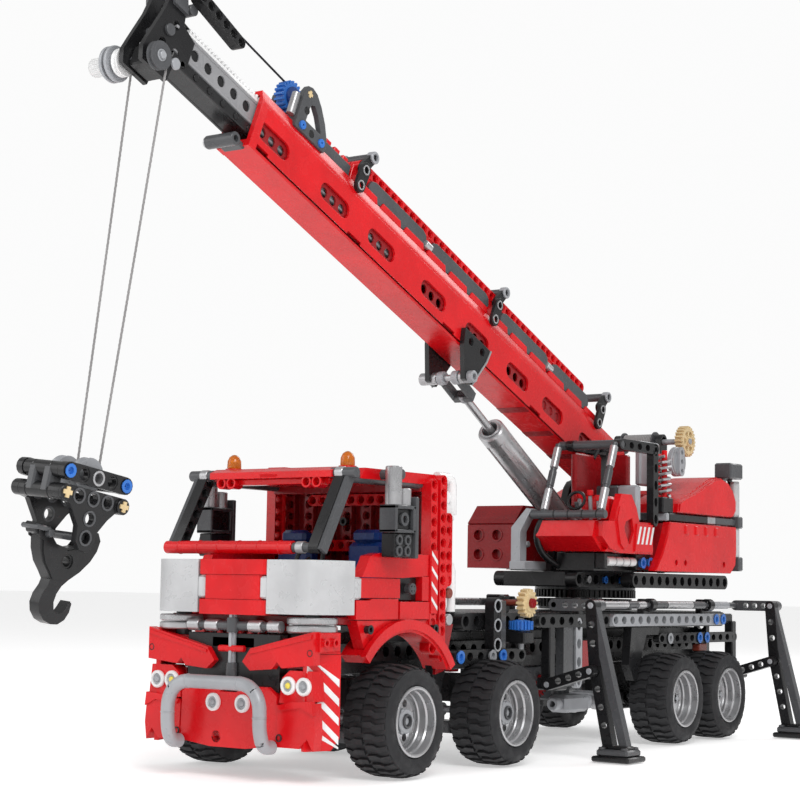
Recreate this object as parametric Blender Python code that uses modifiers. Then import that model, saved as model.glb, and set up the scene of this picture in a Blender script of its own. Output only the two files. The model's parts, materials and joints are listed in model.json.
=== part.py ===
"""Toy mobile crane truck: four-axle carrier, slewing upper works, luffing telescopic boom, four outriggers.

Metres, +Z up, front towards -Y, ground at z = 0. Every dimension below is in drawing units in the truck
frame, whose y = 0 is the front axle. The drawing's beam holes are 12.97 units apart, which is 8 mm on the
toy. TRUCK turns the frame into metres with the bounding box centred in y.
"""
import math

import bmesh
import bpy
from mathutils import Matrix, Vector

UNIT = 0.008 / 12.97                 # metres in one drawing unit
CENTRE_Y = 138.1                     # truck-frame y of the object's middle
GAP = 0.3                            # clearance between touching pieces

# running gear
WHEEL_R, TYRE_HALF, RIM_R = 34.35, 17.0, 21.6
TRACK_X = 70.6                       # wheel centre from the middle plane
STEER_AXLES = (0.0, 116.0)
DRIVE_AXLES = (362.5, 440.0)
KINGPIN_X, KINGPIN_R, STUB_R = 48.0, 4.2, 2.5

# carrier
SPINE_X, SPINE_Z = 34.0, (58.0, 90.0)
DECK_X, DECK_Z = 54.5, (86.0, 100.0)
DECK_Y = (96.0, 512.0)
SIDE_X = (54.8, 62.8)
FRONT_Y = -44.0

# outriggers: shaft A, elbow B, link pins C (on the leg) and D (on the frame), as (x, z)
OUT_Y = (194.0, 492.0)
PIN_A, PIN_B, PIN_C, PIN_D = (66.0, 105.0), (100.0, 105.0), (103.5, 60.5), (70.0, 50.0)
FOOT_X, FOOT_HALF_Y, FOOT_Z = (106.0, 135.0), 13.0, 11.0
LEG_HALF = 3.7
PIN_R, EYE_R, LOOSE_R = 2.3, 2.6, 3.0

# cab
CAB_X, CAB_Z = 67.0, (92.0, 180.0)
CAB_REAR_Y = 60.0
SILL_Z, BELT_Z = 95.0, 134.0
ARCH_C, ARCH_R = (16.0, 35.0), (52.0, 60.0)
NOSE_Y = -73.0

# upper works
SLEW_Y, RING_R = 360.0, 40.0
SLAB_Z = (117.5, 129.7)
UPPER_X = 68.0
REAR_Y = 495.0
SLOT_X, SLOT_END_Y = 24.5, 462.0
WINCH = (452.0, 239.0)
CRANK = (414.0, 219.5)

# boom: foot pin P, luffing cylinder base pin O and boom pin T, as (y, z)
PIN_P, PIN_O, PIN_T = (376.0, 192.0), (365.0, 143.5), (161.8, 264.6)
BOOM_SLOPE = math.radians(22.0)
FOOT_DROP = 5.1                      # the foot pin sits this far under the boom's bottom face
BOOM_X, BOOM_H, BOOM_ROUND = 13.0, 40.0, 8.0
BOOM_U = (-14.0, 496.0)
CAVITY_X, CAVITY_V = 9.4, (5.5, 37.2)
CAVITY_U = 150.0
INNER_X, INNER_V, INNER_U = 8.8, (9.0, 33.0), (300.0, 585.0)
TIP_U, TIP_V = 587.0, 1.0
GUIDE_U, GUIDE_V, GUIDE_R = 458.5, 63.6, 11.0
BARREL_R, BORE_R, BARREL_S = 10.5, 6.0, (30.0, 172.8)
ROD_R, ROD_LEN = 3.0, 106.0

# hook
HANG_LEAN = math.radians(-8.5)
FALL_AHEAD, BLOCK_DROP = 5.3, 248.0  # the block's middle, ahead of and below the sheave axis
BLOCK_YAW, BLOCK_ROLL = math.radians(-2.0), math.radians(5.8)
BLOCK_X, BLOCK_REACH = (14.5, 19.0), 21.2
ROW_DROP, HOOK_PIN_DROP = 11.6, 33.0

TRUCK = Matrix.Scale(UNIT, 4) @ Matrix.Translation((0.0, -CENTRE_Y, 0.0))
PLANES = {
    "X": Matrix(((0, 0, 1, 0), (1, 0, 0, 0), (0, 1, 0, 0), (0, 0, 0, 1))),
    "Y": Matrix(((1, 0, 0, 0), (0, 0, -1, 0), (0, 1, 0, 0), (0, 0, 0, 1))),
    "Z": Matrix.Identity(4),
}


def turned(origin, angle):
    """Truck-frame matrix of a frame at (y, z) turned about X."""
    return TRUCK @ Matrix.Translation((0.0, origin[0], origin[1])) @ Matrix.Rotation(angle, 4, "X")


BOOM = turned(PIN_P, -BOOM_SLOPE) @ Matrix.Translation((0.0, 0.0, FOOT_DROP))
CYLINDER = turned(PIN_O, math.atan2(PIN_O[0] - PIN_T[0], PIN_T[1] - PIN_O[1]))
CYLINDER_LEN = math.hypot(PIN_O[0] - PIN_T[0], PIN_T[1] - PIN_O[1])
TIP = BOOM @ Matrix.Translation((0.0, -TIP_U, TIP_V)) @ Matrix.Rotation(BOOM_SLOPE + HANG_LEAN, 4, "X")
BLOCK = (TIP @ Matrix.Translation((0.0, -FALL_AHEAD, -BLOCK_DROP)) @ Matrix.Rotation(BLOCK_YAW, 4, "Z")
         @ Matrix.Rotation(BLOCK_ROLL, 4, "Y"))


# ---------------------------------------------------------------- outlines

def rect(a0, a1, b0, b1):
    return [(a0, b0), (a1, b0), (a1, b1), (a0, b1)]


def circle(centre, r, n=16):
    return [(centre[0] + r * math.cos(2 * math.pi * i / n), centre[1] + r * math.sin(2 * math.pi * i / n))
            for i in range(n)]


def stadium(p, q, r, n=5):
    """Outline of a straight bar with round ends centred on p and q."""
    turn = math.atan2(q[1] - p[1], q[0] - p[0])
    ends = ((q, turn - math.pi / 2), (p, turn + math.pi / 2))
    return [(c[0] + r * math.cos(start + math.pi * i / n), c[1] + r * math.sin(start + math.pi * i / n))
            for c, start in ends for i in range(n + 1)]


def arc(centre, r, start, stop, n):
    steps = [math.radians(start + (stop - start) * i / n) for i in range(n + 1)]
    return [(centre[0] + r * math.cos(a), centre[1] + r * math.sin(a)) for a in steps]


def band(centre, radii, start, stop, n=12):
    return arc(centre, radii[1], start, stop, n) + arc(centre, radii[0], stop, start, n)


def boom_section(half, height, corner):
    """Box section with rounded lower corners."""
    low_right = arc((half - corner, corner), corner, -90, 0, 4)
    low_left = arc((corner - half, corner), corner, 180, 270, 4)
    return low_left + low_right + [(half, height), (-half, height)]


# ---------------------------------------------------------------- solids

def linked(name, mesh):
    obj = bpy.data.objects.new(name, mesh)
    bpy.context.scene.collection.objects.link(obj)
    return obj


def baked(source, matrix):
    """Mesh of an evaluated curve or modified object, welded and moved by matrix."""
    bpy.context.view_layer.update()
    mesh = bpy.data.meshes.new_from_object(source.evaluated_get(bpy.context.evaluated_depsgraph_get()))
    bpy.data.objects.remove(source)
    work = bmesh.new()
    work.from_mesh(mesh)
    bmesh.ops.remove_doubles(work, verts=work.verts, dist=1e-4)
    bmesh.ops.recalc_face_normals(work, faces=work.faces)
    work.to_mesh(mesh)
    work.free()
    mesh.transform(matrix)
    return mesh


def plate(name, axis, outline, lo, hi, holes=(), frame=TRUCK):
    """Flat outline with holes, thickened from lo to hi along an axis."""
    curve = bpy.data.curves.new(name, "CURVE")
    curve.dimensions, curve.fill_mode, curve.extrude = "2D", "BOTH", (hi - lo) / 2
    for loop in (outline, *holes):
        spline = curve.splines.new("POLY")
        spline.points.add(len(loop) - 1)
        for point, (a, b) in zip(spline.points, loop):
            point.co = (a, b, 0.0, 1.0)
        spline.use_cyclic_u = True
    middle = (lo + hi) / 2 * (-1 if axis == "Y" else 1)
    matrix = frame @ PLANES[axis] @ Matrix.Translation((0.0, 0.0, middle))
    return linked(name, baked(linked(name, curve), matrix))


def box(name, xs, ys, zs, frame=TRUCK):
    return plate(name, "Z", rect(*xs, *ys), *zs, frame=frame)


def rod(name, axis, centre, r, lo, hi, bore=None, n=12, frame=TRUCK):
    holes = () if bore is None else (circle(centre, bore, n),)
    return plate(name, axis, circle(centre, r, n), lo, hi, holes, frame)


def tube(name, path, r, frame=TRUCK):
    """Round bar along a polyline."""
    curve = bpy.data.curves.new(name, "CURVE")
    curve.dimensions, curve.bevel_depth, curve.bevel_resolution, curve.use_fill_caps = "3D", r, 2, True
    spline = curve.splines.new("POLY")
    spline.points.add(len(path) - 1)
    for point, co in zip(spline.points, path):
        point.co = (*co, 1.0)
    return linked(name, baked(linked(name, curve), frame))


def lathe(name, loop, centre, side, frame=TRUCK, steps=20):
    """Closed (radius, offset) loop turned about an X axis; side is +1 or -1 for which way is outboard."""
    mesh = bpy.data.meshes.new(name)
    mesh.from_pydata([(r, 0.0, a) for r, a in loop], [(i, (i + 1) % len(loop)) for i in range(len(loop))],
                     [])
    obj = linked(name, mesh)
    screw = obj.modifiers.new("turn", "SCREW")
    screw.steps = screw.render_steps = steps
    screw.use_merge_vertices, screw.merge_threshold = True, 1e-4
    matrix = frame @ Matrix.Translation(centre) @ Matrix.Rotation(side * math.pi / 2, 4, "Y")
    return linked(name, baked(obj, matrix))


def joined(pieces):
    """One object from pieces that do not touch each other."""
    work = bmesh.new()
    for piece in pieces:
        work.from_mesh(piece.data)
    work.to_mesh(pieces[0].data)
    work.free()
    for piece in pieces[1:]:
        bpy.data.objects.remove(piece)
    return pieces[0]


def combine(base, tool, operation):
    tool.name = f"{base.name}_{operation.lower()}_{len(base.modifiers)}"
    bpy.context.scene.collection.objects.unlink(tool)
    CUTTERS.objects.link(tool)
    tool.hide_render, tool.display_type = True, "WIRE"
    step = base.modifiers.new(operation.lower(), "BOOLEAN")
    step.operation, step.solver, step.object = operation, "EXACT", tool
    return base


def fuse(base, *tools):
    for tool in tools:
        combine(base, tool, "UNION")
    return base


def cut(base, *tools):
    for tool in tools:
        combine(base, tool, "DIFFERENCE")
    return base


def finish(obj, colour, roughness=0.35, metallic=0.0, axis=None, frame=TRUCK):
    """Give the piece its material, collection and origin; axis is a point of its joint axis."""
    material = bpy.data.materials.new(obj.name)
    material.use_nodes = True
    shader = material.node_tree.nodes["Principled BSDF"]
    shader.inputs["Base Color"].default_value = (*colour, 1.0)
    shader.inputs["Roughness"].default_value = roughness
    shader.inputs["Metallic"].default_value = metallic
    obj.data.materials.clear()
    obj.data.materials.append(material)
    bpy.context.scene.collection.objects.unlink(obj)
    PARTS.objects.link(obj)
    origin = frame @ Vector(axis) if axis else Vector()
    obj.data.transform(Matrix.Translation(-origin))
    obj.location = origin
    for face in obj.data.polygons:
        face.use_smooth = obj.name.startswith(("tyre", "wheel", "cylinder"))


RED, DARK_RED = (0.75, 0.02, 0.02), (0.3, 0.01, 0.01)
BLACK, DARK_GREY = (0.02, 0.02, 0.022), (0.11, 0.11, 0.12)
LIGHT_GREY, SILVER, WHITE = (0.5, 0.5, 0.52), (0.6, 0.6, 0.62), (0.85, 0.85, 0.85)
BLUE, DEEP_BLUE, TAN, RUBBER = (0.05, 0.2, 0.7), (0.02, 0.09, 0.4), (0.75, 0.62, 0.38), (0.03, 0.03, 0.03)


# ---------------------------------------------------------------- running gear

RIM = [(RIM_R, 16.8), (RIM_R, -16.5), (18.4, -16.5), (18.4, 2.0), (2.8, 2.0), (2.8, 9.0), (7.5, 7.5),
       (18.4, 6.0), (19.6, 16.8)]
TYRE = [(RIM_R + GAP, TYRE_HALF - 1), (28.5, TYRE_HALF), (32.6, 14.0), (WHEEL_R, 9.0), (WHEEL_R, -9.0),
        (32.6, -14.0), (28.5, -TYRE_HALF), (RIM_R + GAP, 1 - TYRE_HALF)]


def steered_wheel(side, mark, y):
    hub = (side * TRACK_X, y, WHEEL_R)
    finish(lathe(f"tyre_{mark}", TYRE, hub, side), RUBBER, 0.8, axis=hub)
    finish(lathe(f"wheel_{mark}", RIM, hub, side), SILVER, axis=hub)
    x = side * KINGPIN_X
    knuckle = rod(f"knuckle_{mark}", "Z", (x, y), KINGPIN_R, 23.2, 45.6)
    stub = rod("stub", "X", (y, WHEEL_R), STUB_R, *sorted((x, side * 80.0)))
    hub_plate = rod("hub_plate", "X", (y, WHEEL_R), 9.0, *sorted((side * 51.0, side * 55.0)))
    arm = box("arm", sorted((side * 44.5, side * 50.0)), (y + 2.0, y + 22.0), (30.0, 35.5))
    pins = rod("pins", "Z", (x, y), 2.0, 19.5, 49.4)
    finish(fuse(knuckle, pins, stub, hub_plate, arm), DARK_GREY, axis=(x, y, WHEEL_R))


def drive_axle(number, y):
    axle = rod(f"axle_{number}", "X", (y, WHEEL_R), 3.2, -84.0, 84.0)
    for side, mark in ((1, "L"), (-1, "R")):
        hub = (side * TRACK_X, y, WHEEL_R)
        fuse(axle, lathe("rim", RIM, hub, side))
        finish(lathe(f"tyre_{number}{mark}", TYRE, hub, side), RUBBER, 0.8, axis=hub)
    finish(axle, SILVER, axis=(0.0, y, WHEEL_R))


def running_gear():
    for number, y in enumerate(STEER_AXLES, 1):
        for side, mark in ((1, "L"), (-1, "R")):
            steered_wheel(side, f"{number}{mark}", y)
    for number, y in enumerate(DRIVE_AXLES, 3):
        drive_axle(number, y)


# ---------------------------------------------------------------- carrier

def chassis_frame():
    frame = box("chassis_frame", (-SPINE_X, SPINE_X), (FRONT_Y, DECK_Y[1]), SPINE_Z)
    fuse(frame, box("deck", (-DECK_X, DECK_X), DECK_Y, DECK_Z))
    for y in STEER_AXLES:
        fuse(frame, box("beam", (-39.5, 39.5), (y - 8, y + 8), (18.7, SPINE_Z[0] + 1)))
        fuse(frame, joined([box("ear", (-53, 53), (y - 5, y + 5), zs)
                            for zs in ((46.2, 50.0), (18.7, 22.6))]))
        cut(frame, joined([rod("bore", "Z", (s * KINGPIN_X, y), 2.3, 15, 55) for s in (1, -1)]))
    hangers = [box("hanger", sorted((s * 26.0, s * 33.0)), (y - 9, y + 9), (24.0, SPINE_Z[0] + 1))
               for y in DRIVE_AXLES for s in (1, -1)]
    fuse(frame, joined(hangers))
    fuse(frame, box("gearbox", (-14, 14), (200, 296), (33, SPINE_Z[0] + 1)))
    fuse(frame, rod("shaft", "Y", (0, 41), 4.5, 120, 352))
    cut(frame, joined([rod("bore", "X", (y, WHEEL_R), 3.6, -40, 40) for y in DRIVE_AXLES]))
    fuse(frame, box("crank_post", (38, 50), (153, 167), (DECK_Z[1] - 1, 112)))
    cut(frame, rod("bore", "X", (160, 106), 3.3, 30, 60))
    fuse(frame, box("knob_shelf", (50, 70), (153, 167), (78, 86.9)))
    cut(frame, rod("bore", "Z", (63, 160), 3.3, 70, 99))
    finish(frame, BLACK)


def chassis_side(side, mark):
    def span(lo, hi):
        return sorted((side * lo, side * hi))

    rail = plate(f"chassis_side_{mark}", "X", stadium((180, 93.5), (507, 93.5), 4.8), *span(*SIDE_X))
    fuse(rail, box("lower_rail", span(*SIDE_X), (366, 506), (75, 83)))
    posts = [box("post", span(*SIDE_X), (y, y + 8), (45, 94)) for y in (200, 498)]
    fuse(rail, joined(posts))
    fuse(rail, box("gear_post", span(*SIDE_X), (228, 236), (45, 94)))
    fuse(rail, box("gear_sill", span(*SIDE_X), (205, 232), (45.5, 53)))
    fuse(rail, box("hanger", span(*SIDE_X), (384, 392), (82, 90)))
    for y in OUT_Y:
        fuse(rail, box("lug", span(57, 73.5), (y - LEG_HALF, y + 13), (45.2, 54.8)))
        fuse(rail, rod("pin", "Y", (side * PIN_D[0], PIN_D[1]), PIN_R, y - 13, y - 2))
    lugs = [plate("bearing", "Y", rect(*span(56, 71), 92, 110.5), y, y + 8,
                  (circle((side * PIN_A[0], PIN_A[1]), 3.3, 12),)) for y in (240, 340, 440)]
    fuse(rail, joined(lugs))
    finish(rail, BLACK)


def outriggers(side, mark):
    def at(p):
        return (side * p[0], p[1])

    arms = rod(f"outrigger_arms_{mark}", "Y", at(PIN_A), 3.0, OUT_Y[0] + 4.3, OUT_Y[1] + 11.7, n=16)
    for y in OUT_Y:
        fuse(arms, plate("arm", "Y", stadium(at(PIN_A), at(PIN_B), 4.2), y + 4.3, y + 11.7))
        fuse(arms, rod("pin", "Y", at(PIN_B), PIN_R, y - 4.3, y + 5.0))
    finish(arms, DARK_GREY, axis=(side * PIN_A[0], OUT_Y[0], PIN_A[1]))
    for y, end in zip(OUT_Y, "FR"):
        leg = plate(f"outrigger_leg_{end}{mark}", "Y", stadium(at(PIN_B), at(PIN_C), 4.2), y - LEG_HALF,
                    y + LEG_HALF)
        fuse(leg, plate("shin", "Y", stadium(at(PIN_C), at((114, 10)), 4.0), y - LEG_HALF, y + LEG_HALF))
        fuse(leg, plate("strut", "Y", stadium(at(PIN_B), at((126, 9)), 3.0), y - LEG_HALF + 0.4,
                        y + LEG_HALF))
        foot = box("foot", sorted((side * FOOT_X[0], side * FOOT_X[1])), (y - FOOT_HALF_Y, y + FOOT_HALF_Y),
                   (0.0, FOOT_Z))
        fuse(leg, foot)
        eyes = ((PIN_B, EYE_R), (PIN_C, LOOSE_R))
        cut(leg, joined([rod("eye", "Y", at(p), r, y - 9, y + 9) for p, r in eyes]))
        finish(leg, BLACK, axis=(side * PIN_B[0], y, PIN_B[1]))
        link = plate(f"outrigger_link_{end}{mark}", "Y", stadium(at(PIN_D), at(PIN_C), 4.0), y - 11.7,
                     y - 4.3,
                     (circle(at(PIN_D), EYE_R, 12),))
        fuse(link, rod("pin", "Y", at(PIN_C), PIN_R, y - 5.0, y + 4.3))
        finish(link, BLACK, axis=(side * PIN_D[0], y, PIN_D[1]))


def cranks():
    crank = rod("outrigger_crank", "X", (160, 106), 3.0, 34.0, 74.0)
    finish(fuse(crank, rod("gear", "X", (160, 106), 10.0, 64.0, 71.0, n=24)), TAN, axis=(60, 160, 106))
    knob = rod("steering_gear", "Z", (63, 160), 3.0, 74.0, 95.0)
    finish(fuse(knob, rod("gear", "Z", (63, 160), 8.5, 87.2, 94.4, n=24)), BLUE, axis=(63, 160, 90))


def carrier():
    chassis_frame()
    ring = rod("turntable_base", "Z", (0, SLEW_Y), 37.0, DECK_Z[1] + GAP, 109.0, bore=20.0, n=24)
    finish(ring, BLACK)
    for side, mark in ((1, "L"), (-1, "R")):
        chassis_side(side, mark)
        outriggers(side, mark)
    cranks()


# ---------------------------------------------------------------- cab

def cab_body():
    body = box("cab_body", (-61.5, 61.5), (-58, CAB_REAR_Y), (CAB_Z[0], 97.0))
    fuse(body, box("rear_wall", (-61.0, 61.0), (54, CAB_REAR_Y), (93, CAB_Z[1])))
    doors = [box("door", sorted((s * 60.5, s * CAB_X)), (-38, 42), (90.5, BELT_Z)) for s in (1, -1)]
    fuse(body, joined(doors))
    columns = [box("column", sorted((s * 58.0, s * (CAB_X + 0.5))), (41, CAB_REAR_Y + 0.5),
                   (88, CAB_Z[1] - 0.4))
               for s in (1, -1)]
    fuse(body, joined(columns))
    arches = [plate("arch", "X", band(ARCH_C, ARCH_R, 34, 138), *sorted((s * 50.0, s * 70.0)))
              for s in (1, -1)]
    fuse(body, joined(arches))
    finish(body, RED)


def cab_frame():
    z = CAB_Z[1] - 3.6
    frame = rod("cab_frame", "X", (-37, z), 3.2, -62.0, 62.0)
    for side in (1, -1):
        x = side * 58.0
        fuse(frame, tube("pillar", [(x, -61, BELT_Z + 4), (x, -37, z), (x, 40, z)], 3.0))
        fuse(frame, rod("mirror_arm", "X", (-4, z), 2.6, *sorted((side * 56, side * 76))))
        fuse(frame, rod("lamp", "Z", (side * 74, -4), 5.5, 160, 189, n=16))
        fuse(frame, box("mirror", sorted((side * 67.5, side * 81)), (-15, 9), (134, 163)))
    fuse(frame, rod("scuttle", "X", (-61, BELT_Z + 4), 3.4, -60.0, 60.0))
    finish(frame, DARK_GREY)


def cab_roof():
    roof = plate("cab_roof", "X", [(-41, 180.4), (59, 180.4), (59, 186.5), (54, 188), (-34, 188),
                                   (-41, 185)],
                 -62.0, 62.0)
    beacons = [rod("beacon", "Z", (s * 45.6, -19), 4.8, 187, 198, n=16) for s in (1, -1)]
    finish(fuse(roof, joined(beacons)), RED)


def cab_front():
    waist = [(-26.5, 97), (26.5, 97), (23, 105), (23, 122), (26.5, 130), (-26.5, 130), (-23, 122),
             (-23, 105)]
    finish(plate("cab_grille", "Y", waist, NOSE_Y, -59.0), RED)
    for side, mark in ((1, "L"), (-1, "R")):
        outer = arc((54, -60), 13.5, -90, 0, 6)
        inner = arc((54, -60), 9.5, 0, -90, 6)
        path = [(27, -73.5)] + outer + [(67.5, -38.5), (63.5, -38.5)] + inner + [(27, -69.5)]
        shell = plate(f"cab_corner_{mark}", "Z", [(side * x, y) for x, y in path], 98.0, 130.5)
        finish(shell, WHITE)


def seats():
    bench = box("seats", (-46, 46), (2, 26), (97.4, 104))
    squabs = [box("squab", sorted((s * 14.0, s * 44.0)), (-4, 30), (103, 113)) for s in (1, -1)]
    backs = [box("back", sorted((s * 16.0, s * 42.0)), (26, 35), (104, 150)) for s in (1, -1)]
    finish(fuse(bench, joined(squabs), joined(backs)), DEEP_BLUE)


def bumper():
    face = [(-58, 22), (-20, 18), (20, 18), (58, 22), (60, 62), (44, 62), (20, 54), (-20, 54), (-44, 62),
            (-60, 62)]
    body = plate("bumper", "Y", face, NOSE_Y - 1.5, -67.0)
    wedges = [plate("wedge", "Y", [(s * 62, 60), (s * 62, 86), (s * 10, 78), (s * 16, 64),
                                   (s * 40, 60)][::s],
                    NOSE_Y - 1.0, -62.0) for s in (1, -1)]
    fuse(body, joined(wedges))
    corners = [box("corner", sorted((s * 58.5, s * CAB_X)), (NOSE_Y, -49.5), (19, 75)) for s in (1, -1)]
    fuse(body, joined(corners))
    fuse(body, box("crossbeam", (-30, 30), (-68.0, FRONT_Y - GAP), (42, 70)))
    finish(body, RED)


def bull_bar():
    x, y, low, high = 35.6, -87.0, 22.0, 57.0
    corner = [(x - 9, high), (x - 3, high - 3), (x, high - 9)]
    right = [(a, y, b) for a, b in corner] + [(x, y, low + 7), (x, y + 5, low), (x, NOSE_Y - 3.0, low)]
    left = [(-a, b, c) for a, b, c in reversed(right)]
    finish(tube("bull_bar", left + right, 4.2), LIGHT_GREY)


def cab():
    cab_body()
    cab_frame()
    cab_roof()
    cab_front()
    seats()
    bumper()
    bull_bar()


# ---------------------------------------------------------------- upper works

def u_shape(half, front, rear, chamfer=10.0):
    """Plan outline open towards the front, clear of the boom and its cylinder."""
    side = [(SLOT_X, SLOT_END_Y), (SLOT_X, front), (half, front), (half, rear - chamfer),
            (half - chamfer, rear)]
    return side + [(-x, y) for x, y in reversed(side)]


def super_frame():
    frame = rod("super_frame", "Z", (0, SLEW_Y), RING_R, 109.4, 118.5, bore=16.0, n=24)
    slab = [(-35, 280), (35, 280), (36, 398), (60, 404), (60, 494), (-60, 494), (-60, 404), (-36, 398)]
    fuse(frame, plate("slab", "Z", slab, *SLAB_Z))
    cheek = [(330, 128), (402, 128), (392, 198), (376, 204), (362, 198), (346, 160)]
    fuse(frame, joined([plate("cheek", "X", cheek, *sorted((s * 16.0, s * 22.0))) for s in (1, -1)]))
    posts = [box("post", sorted((s * 17.0, s * 22.0)), (446, 458), (128, 246)) for s in (1, -1)]
    fuse(frame, joined(posts))
    fuse(frame, rod("foot_pin", "X", PIN_P, 4.0, -18, 18), rod("base_pin", "X", PIN_O, 3.0, -18, 18))
    cut(frame, rod("bore", "X", WINCH, 3.3, -30, 30))
    finish(frame, BLACK, axis=(0, SLEW_Y, SLAB_Z[0]))


def rear_covers():
    low = plate("rear_cover_low", "Z", u_shape(UPPER_X, 348, REAR_Y), 130.0, 170.0)
    finish(low, RED)
    profile = [(388, 177), (REAR_Y - 1, 177), (REAR_Y - 1, 196), (474, 210), (452, 210), (396, 203)]
    sides = [plate("side", "X", profile, *sorted((s * SLOT_X, s * UPPER_X))) for s in (1, -1)]
    top = box("rear_cover_top", (-SLOT_X - 1, SLOT_X + 1), (SLOT_END_Y + 0.5, REAR_Y - 2), (177.5, 200.0))
    fuse(top, joined(sides))
    fuse(top, plate("crank_post", "X", rect(407, 421, 202, 227), 34.0, 41.0))
    cut(top, rod("bore", "X", CRANK, 3.3, 30, 48))
    finish(top, RED)
    band_plate = plate("rear_frame", "Z", u_shape(UPPER_X - 1.5, 352, REAR_Y + 3, 4.0), 170.3, 176.7)
    posts = [box("post", sorted((s * 54.0, s * 70.0)), (REAR_Y + GAP, REAR_Y + 9), (133, 223))
             for s in (1, -1)]
    finish(fuse(band_plate, joined(posts)), DARK_GREY)


def operator_cab():
    body = [(258, 150), (276, 133), (300, 131), (343.5, 131), (343.5, 167), (261, 167)]
    finish(plate("op_cab_body", "X", body, SLOT_X, 70.0), RED)
    low, high, rear = (261.0, 171.0), (283.0, 225.0), 345.0
    frame = rod("op_cab_frame", "X", low, 3.3, 20.0, 73.0)
    for x in (27.0, 68.0):
        path = [(x, *low), (x, *high), (x, rear, high[1]), (x, rear, 168.0)]
        fuse(frame, tube("side", path, 3.0))
    fuse(frame, rod("top_bar", "X", (high[0] + 7, high[1]), 3.6, 24.0, 71.0))
    fuse(frame, rod("rear_bar", "X", (rear - 8, high[1]), 2.4, 25.0, 70.0))
    fuse(frame, box("seat", (28, 67), (322, 346), (167.6, 196)))
    finish(frame, DARK_GREY)
    side_box = [(292, 131), (345, 131), (345, 180), (306, 180), (292, 166)]
    finish(plate("engine_box", "X", side_box, -UPPER_X, -SLOT_X), DARK_RED)


def winch():
    drum = rod("winch_drum", "X", WINCH, 3.0, -26.0, 47.0)
    fuse(drum, rod("drum", "X", WINCH, 9.0, -15.0, 15.0), rod("gear", "X", WINCH, 13.0, 38.0, 45.0, n=24))
    finish(drum, TAN, axis=(0, *WINCH))
    crank = rod("luff_crank", "X", CRANK, 3.0, 32.0, 52.0)
    finish(fuse(crank, rod("disc", "X", CRANK, 12.0, 50.0, 58.0, n=24)), LIGHT_GREY, axis=(40, *CRANK))


# ---------------------------------------------------------------- boom, cylinder and hook

def boom_outer():
    section = boom_section(BOOM_X, BOOM_H, BOOM_ROUND)
    boom = plate("boom_outer", "Y", section, -BOOM_U[1], -CAVITY_U, (rect(-CAVITY_X, CAVITY_X, *CAVITY_V),),
                 frame=BOOM)
    fuse(boom, plate("rear", "Y", section, -CAVITY_U - 1, -BOOM_U[0], frame=BOOM))
    fuse(boom, plate("top_rail", "X", rect(-430, -50, BOOM_H - 1, 54), -8, 8, frame=BOOM))
    cheek = [(-468, 38.5), (-468, 60), (-458, 69), (-450, 66), (-428, 48), (-428, 38.5)]
    fuse(boom, joined([plate("cheek", "X", cheek, *sorted((s * 8.6, s * 12.6)), frame=BOOM)
                       for s in (1, -1)]))
    fuse(boom, rod("guide_pin", "X", (-GUIDE_U, GUIDE_V), 2.4, -11, 11, frame=BOOM))
    ears = [plate("ear", "X", stadium((-u, 46), (-u - 3, 64), 5.0), *sorted((s * 7.0, s * 14.0)), frame=BOOM)
            for u in (205, 386) for s in (1, -1)]
    fuse(boom, joined(ears))
    lug = plate("lug", "X", stadium((0, -FOOT_DROP), (-6, 12), 10.0), -11, 11, frame=BOOM)
    fuse(boom, lug)
    cut(boom, rod("foot_bore", "X", (0, -FOOT_DROP), 4.3, -16, 16, frame=BOOM))
    fork = [(-242, 10), (-242, 1), (-231, -18), (-228, -22), (-223, -22), (-220, -18), (-208, 1), (-208, 10)]
    fuse(boom, joined([plate("fork", "X", fork, *sorted((s * 11.6, s * 20.5)), frame=BOOM)
                       for s in (1, -1)]))
    fuse(boom, rod("fork_bar", "X", PIN_T, 4.0, -21.5, 21.5))
    finish(boom, RED, axis=(0, *PIN_P))
    sheave = rod("guide_wheel", "X", (-GUIDE_U, GUIDE_V), GUIDE_R, -7.8, -1.0, bore=2.7, n=24, frame=BOOM)
    finish(sheave, BLUE, axis=(0, -GUIDE_U, GUIDE_V), frame=BOOM)


def boom_inner():
    inner = plate("boom_inner", "X", rect(-INNER_U[1], -INNER_U[0], *INNER_V), -INNER_X, INNER_X, frame=BOOM)
    fuse(inner, plate("rack", "X", rect(-560, -INNER_U[0] - 4, INNER_V[1] - 1, 36.6), -4, 4, frame=BOOM))
    cheek = [(-TIP_U - 8, -6), (-TIP_U - 8, 20), (-TIP_U - 4, 52), (-TIP_U + 8, 52), (-TIP_U + 22, 34),
             (-TIP_U + 22, 8), (-TIP_U + 8, -6)]
    cheeks = [plate("cheek", "X", cheek, *sorted((s * 5.0, s * 9.2)), frame=BOOM) for s in (1, -1)]
    fuse(inner, joined(cheeks))
    cut(inner, rod("bore", "X", (-TIP_U, TIP_V), 3.3, -16, 16, frame=BOOM))
    finish(inner, DARK_GREY, axis=(0, -TIP_U, TIP_V), frame=BOOM)
    sheaves = rod("tip_sheaves", "X", (0, 0), 3.0, -36.0, 18.0, n=16, frame=TIP)
    fuse(sheaves, joined([rod("sheave", "X", (0, 0), 8.5, s * 14 - 3, s * 14 + 3, frame=TIP)
                          for s in (1, -1)]))
    fuse(sheaves, rod("hub", "X", (0, 0), 5.5, -38.0, -26.0, n=16, frame=TIP))
    finish(sheaves, WHITE, axis=(0, 0, 0), frame=TIP)


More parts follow.
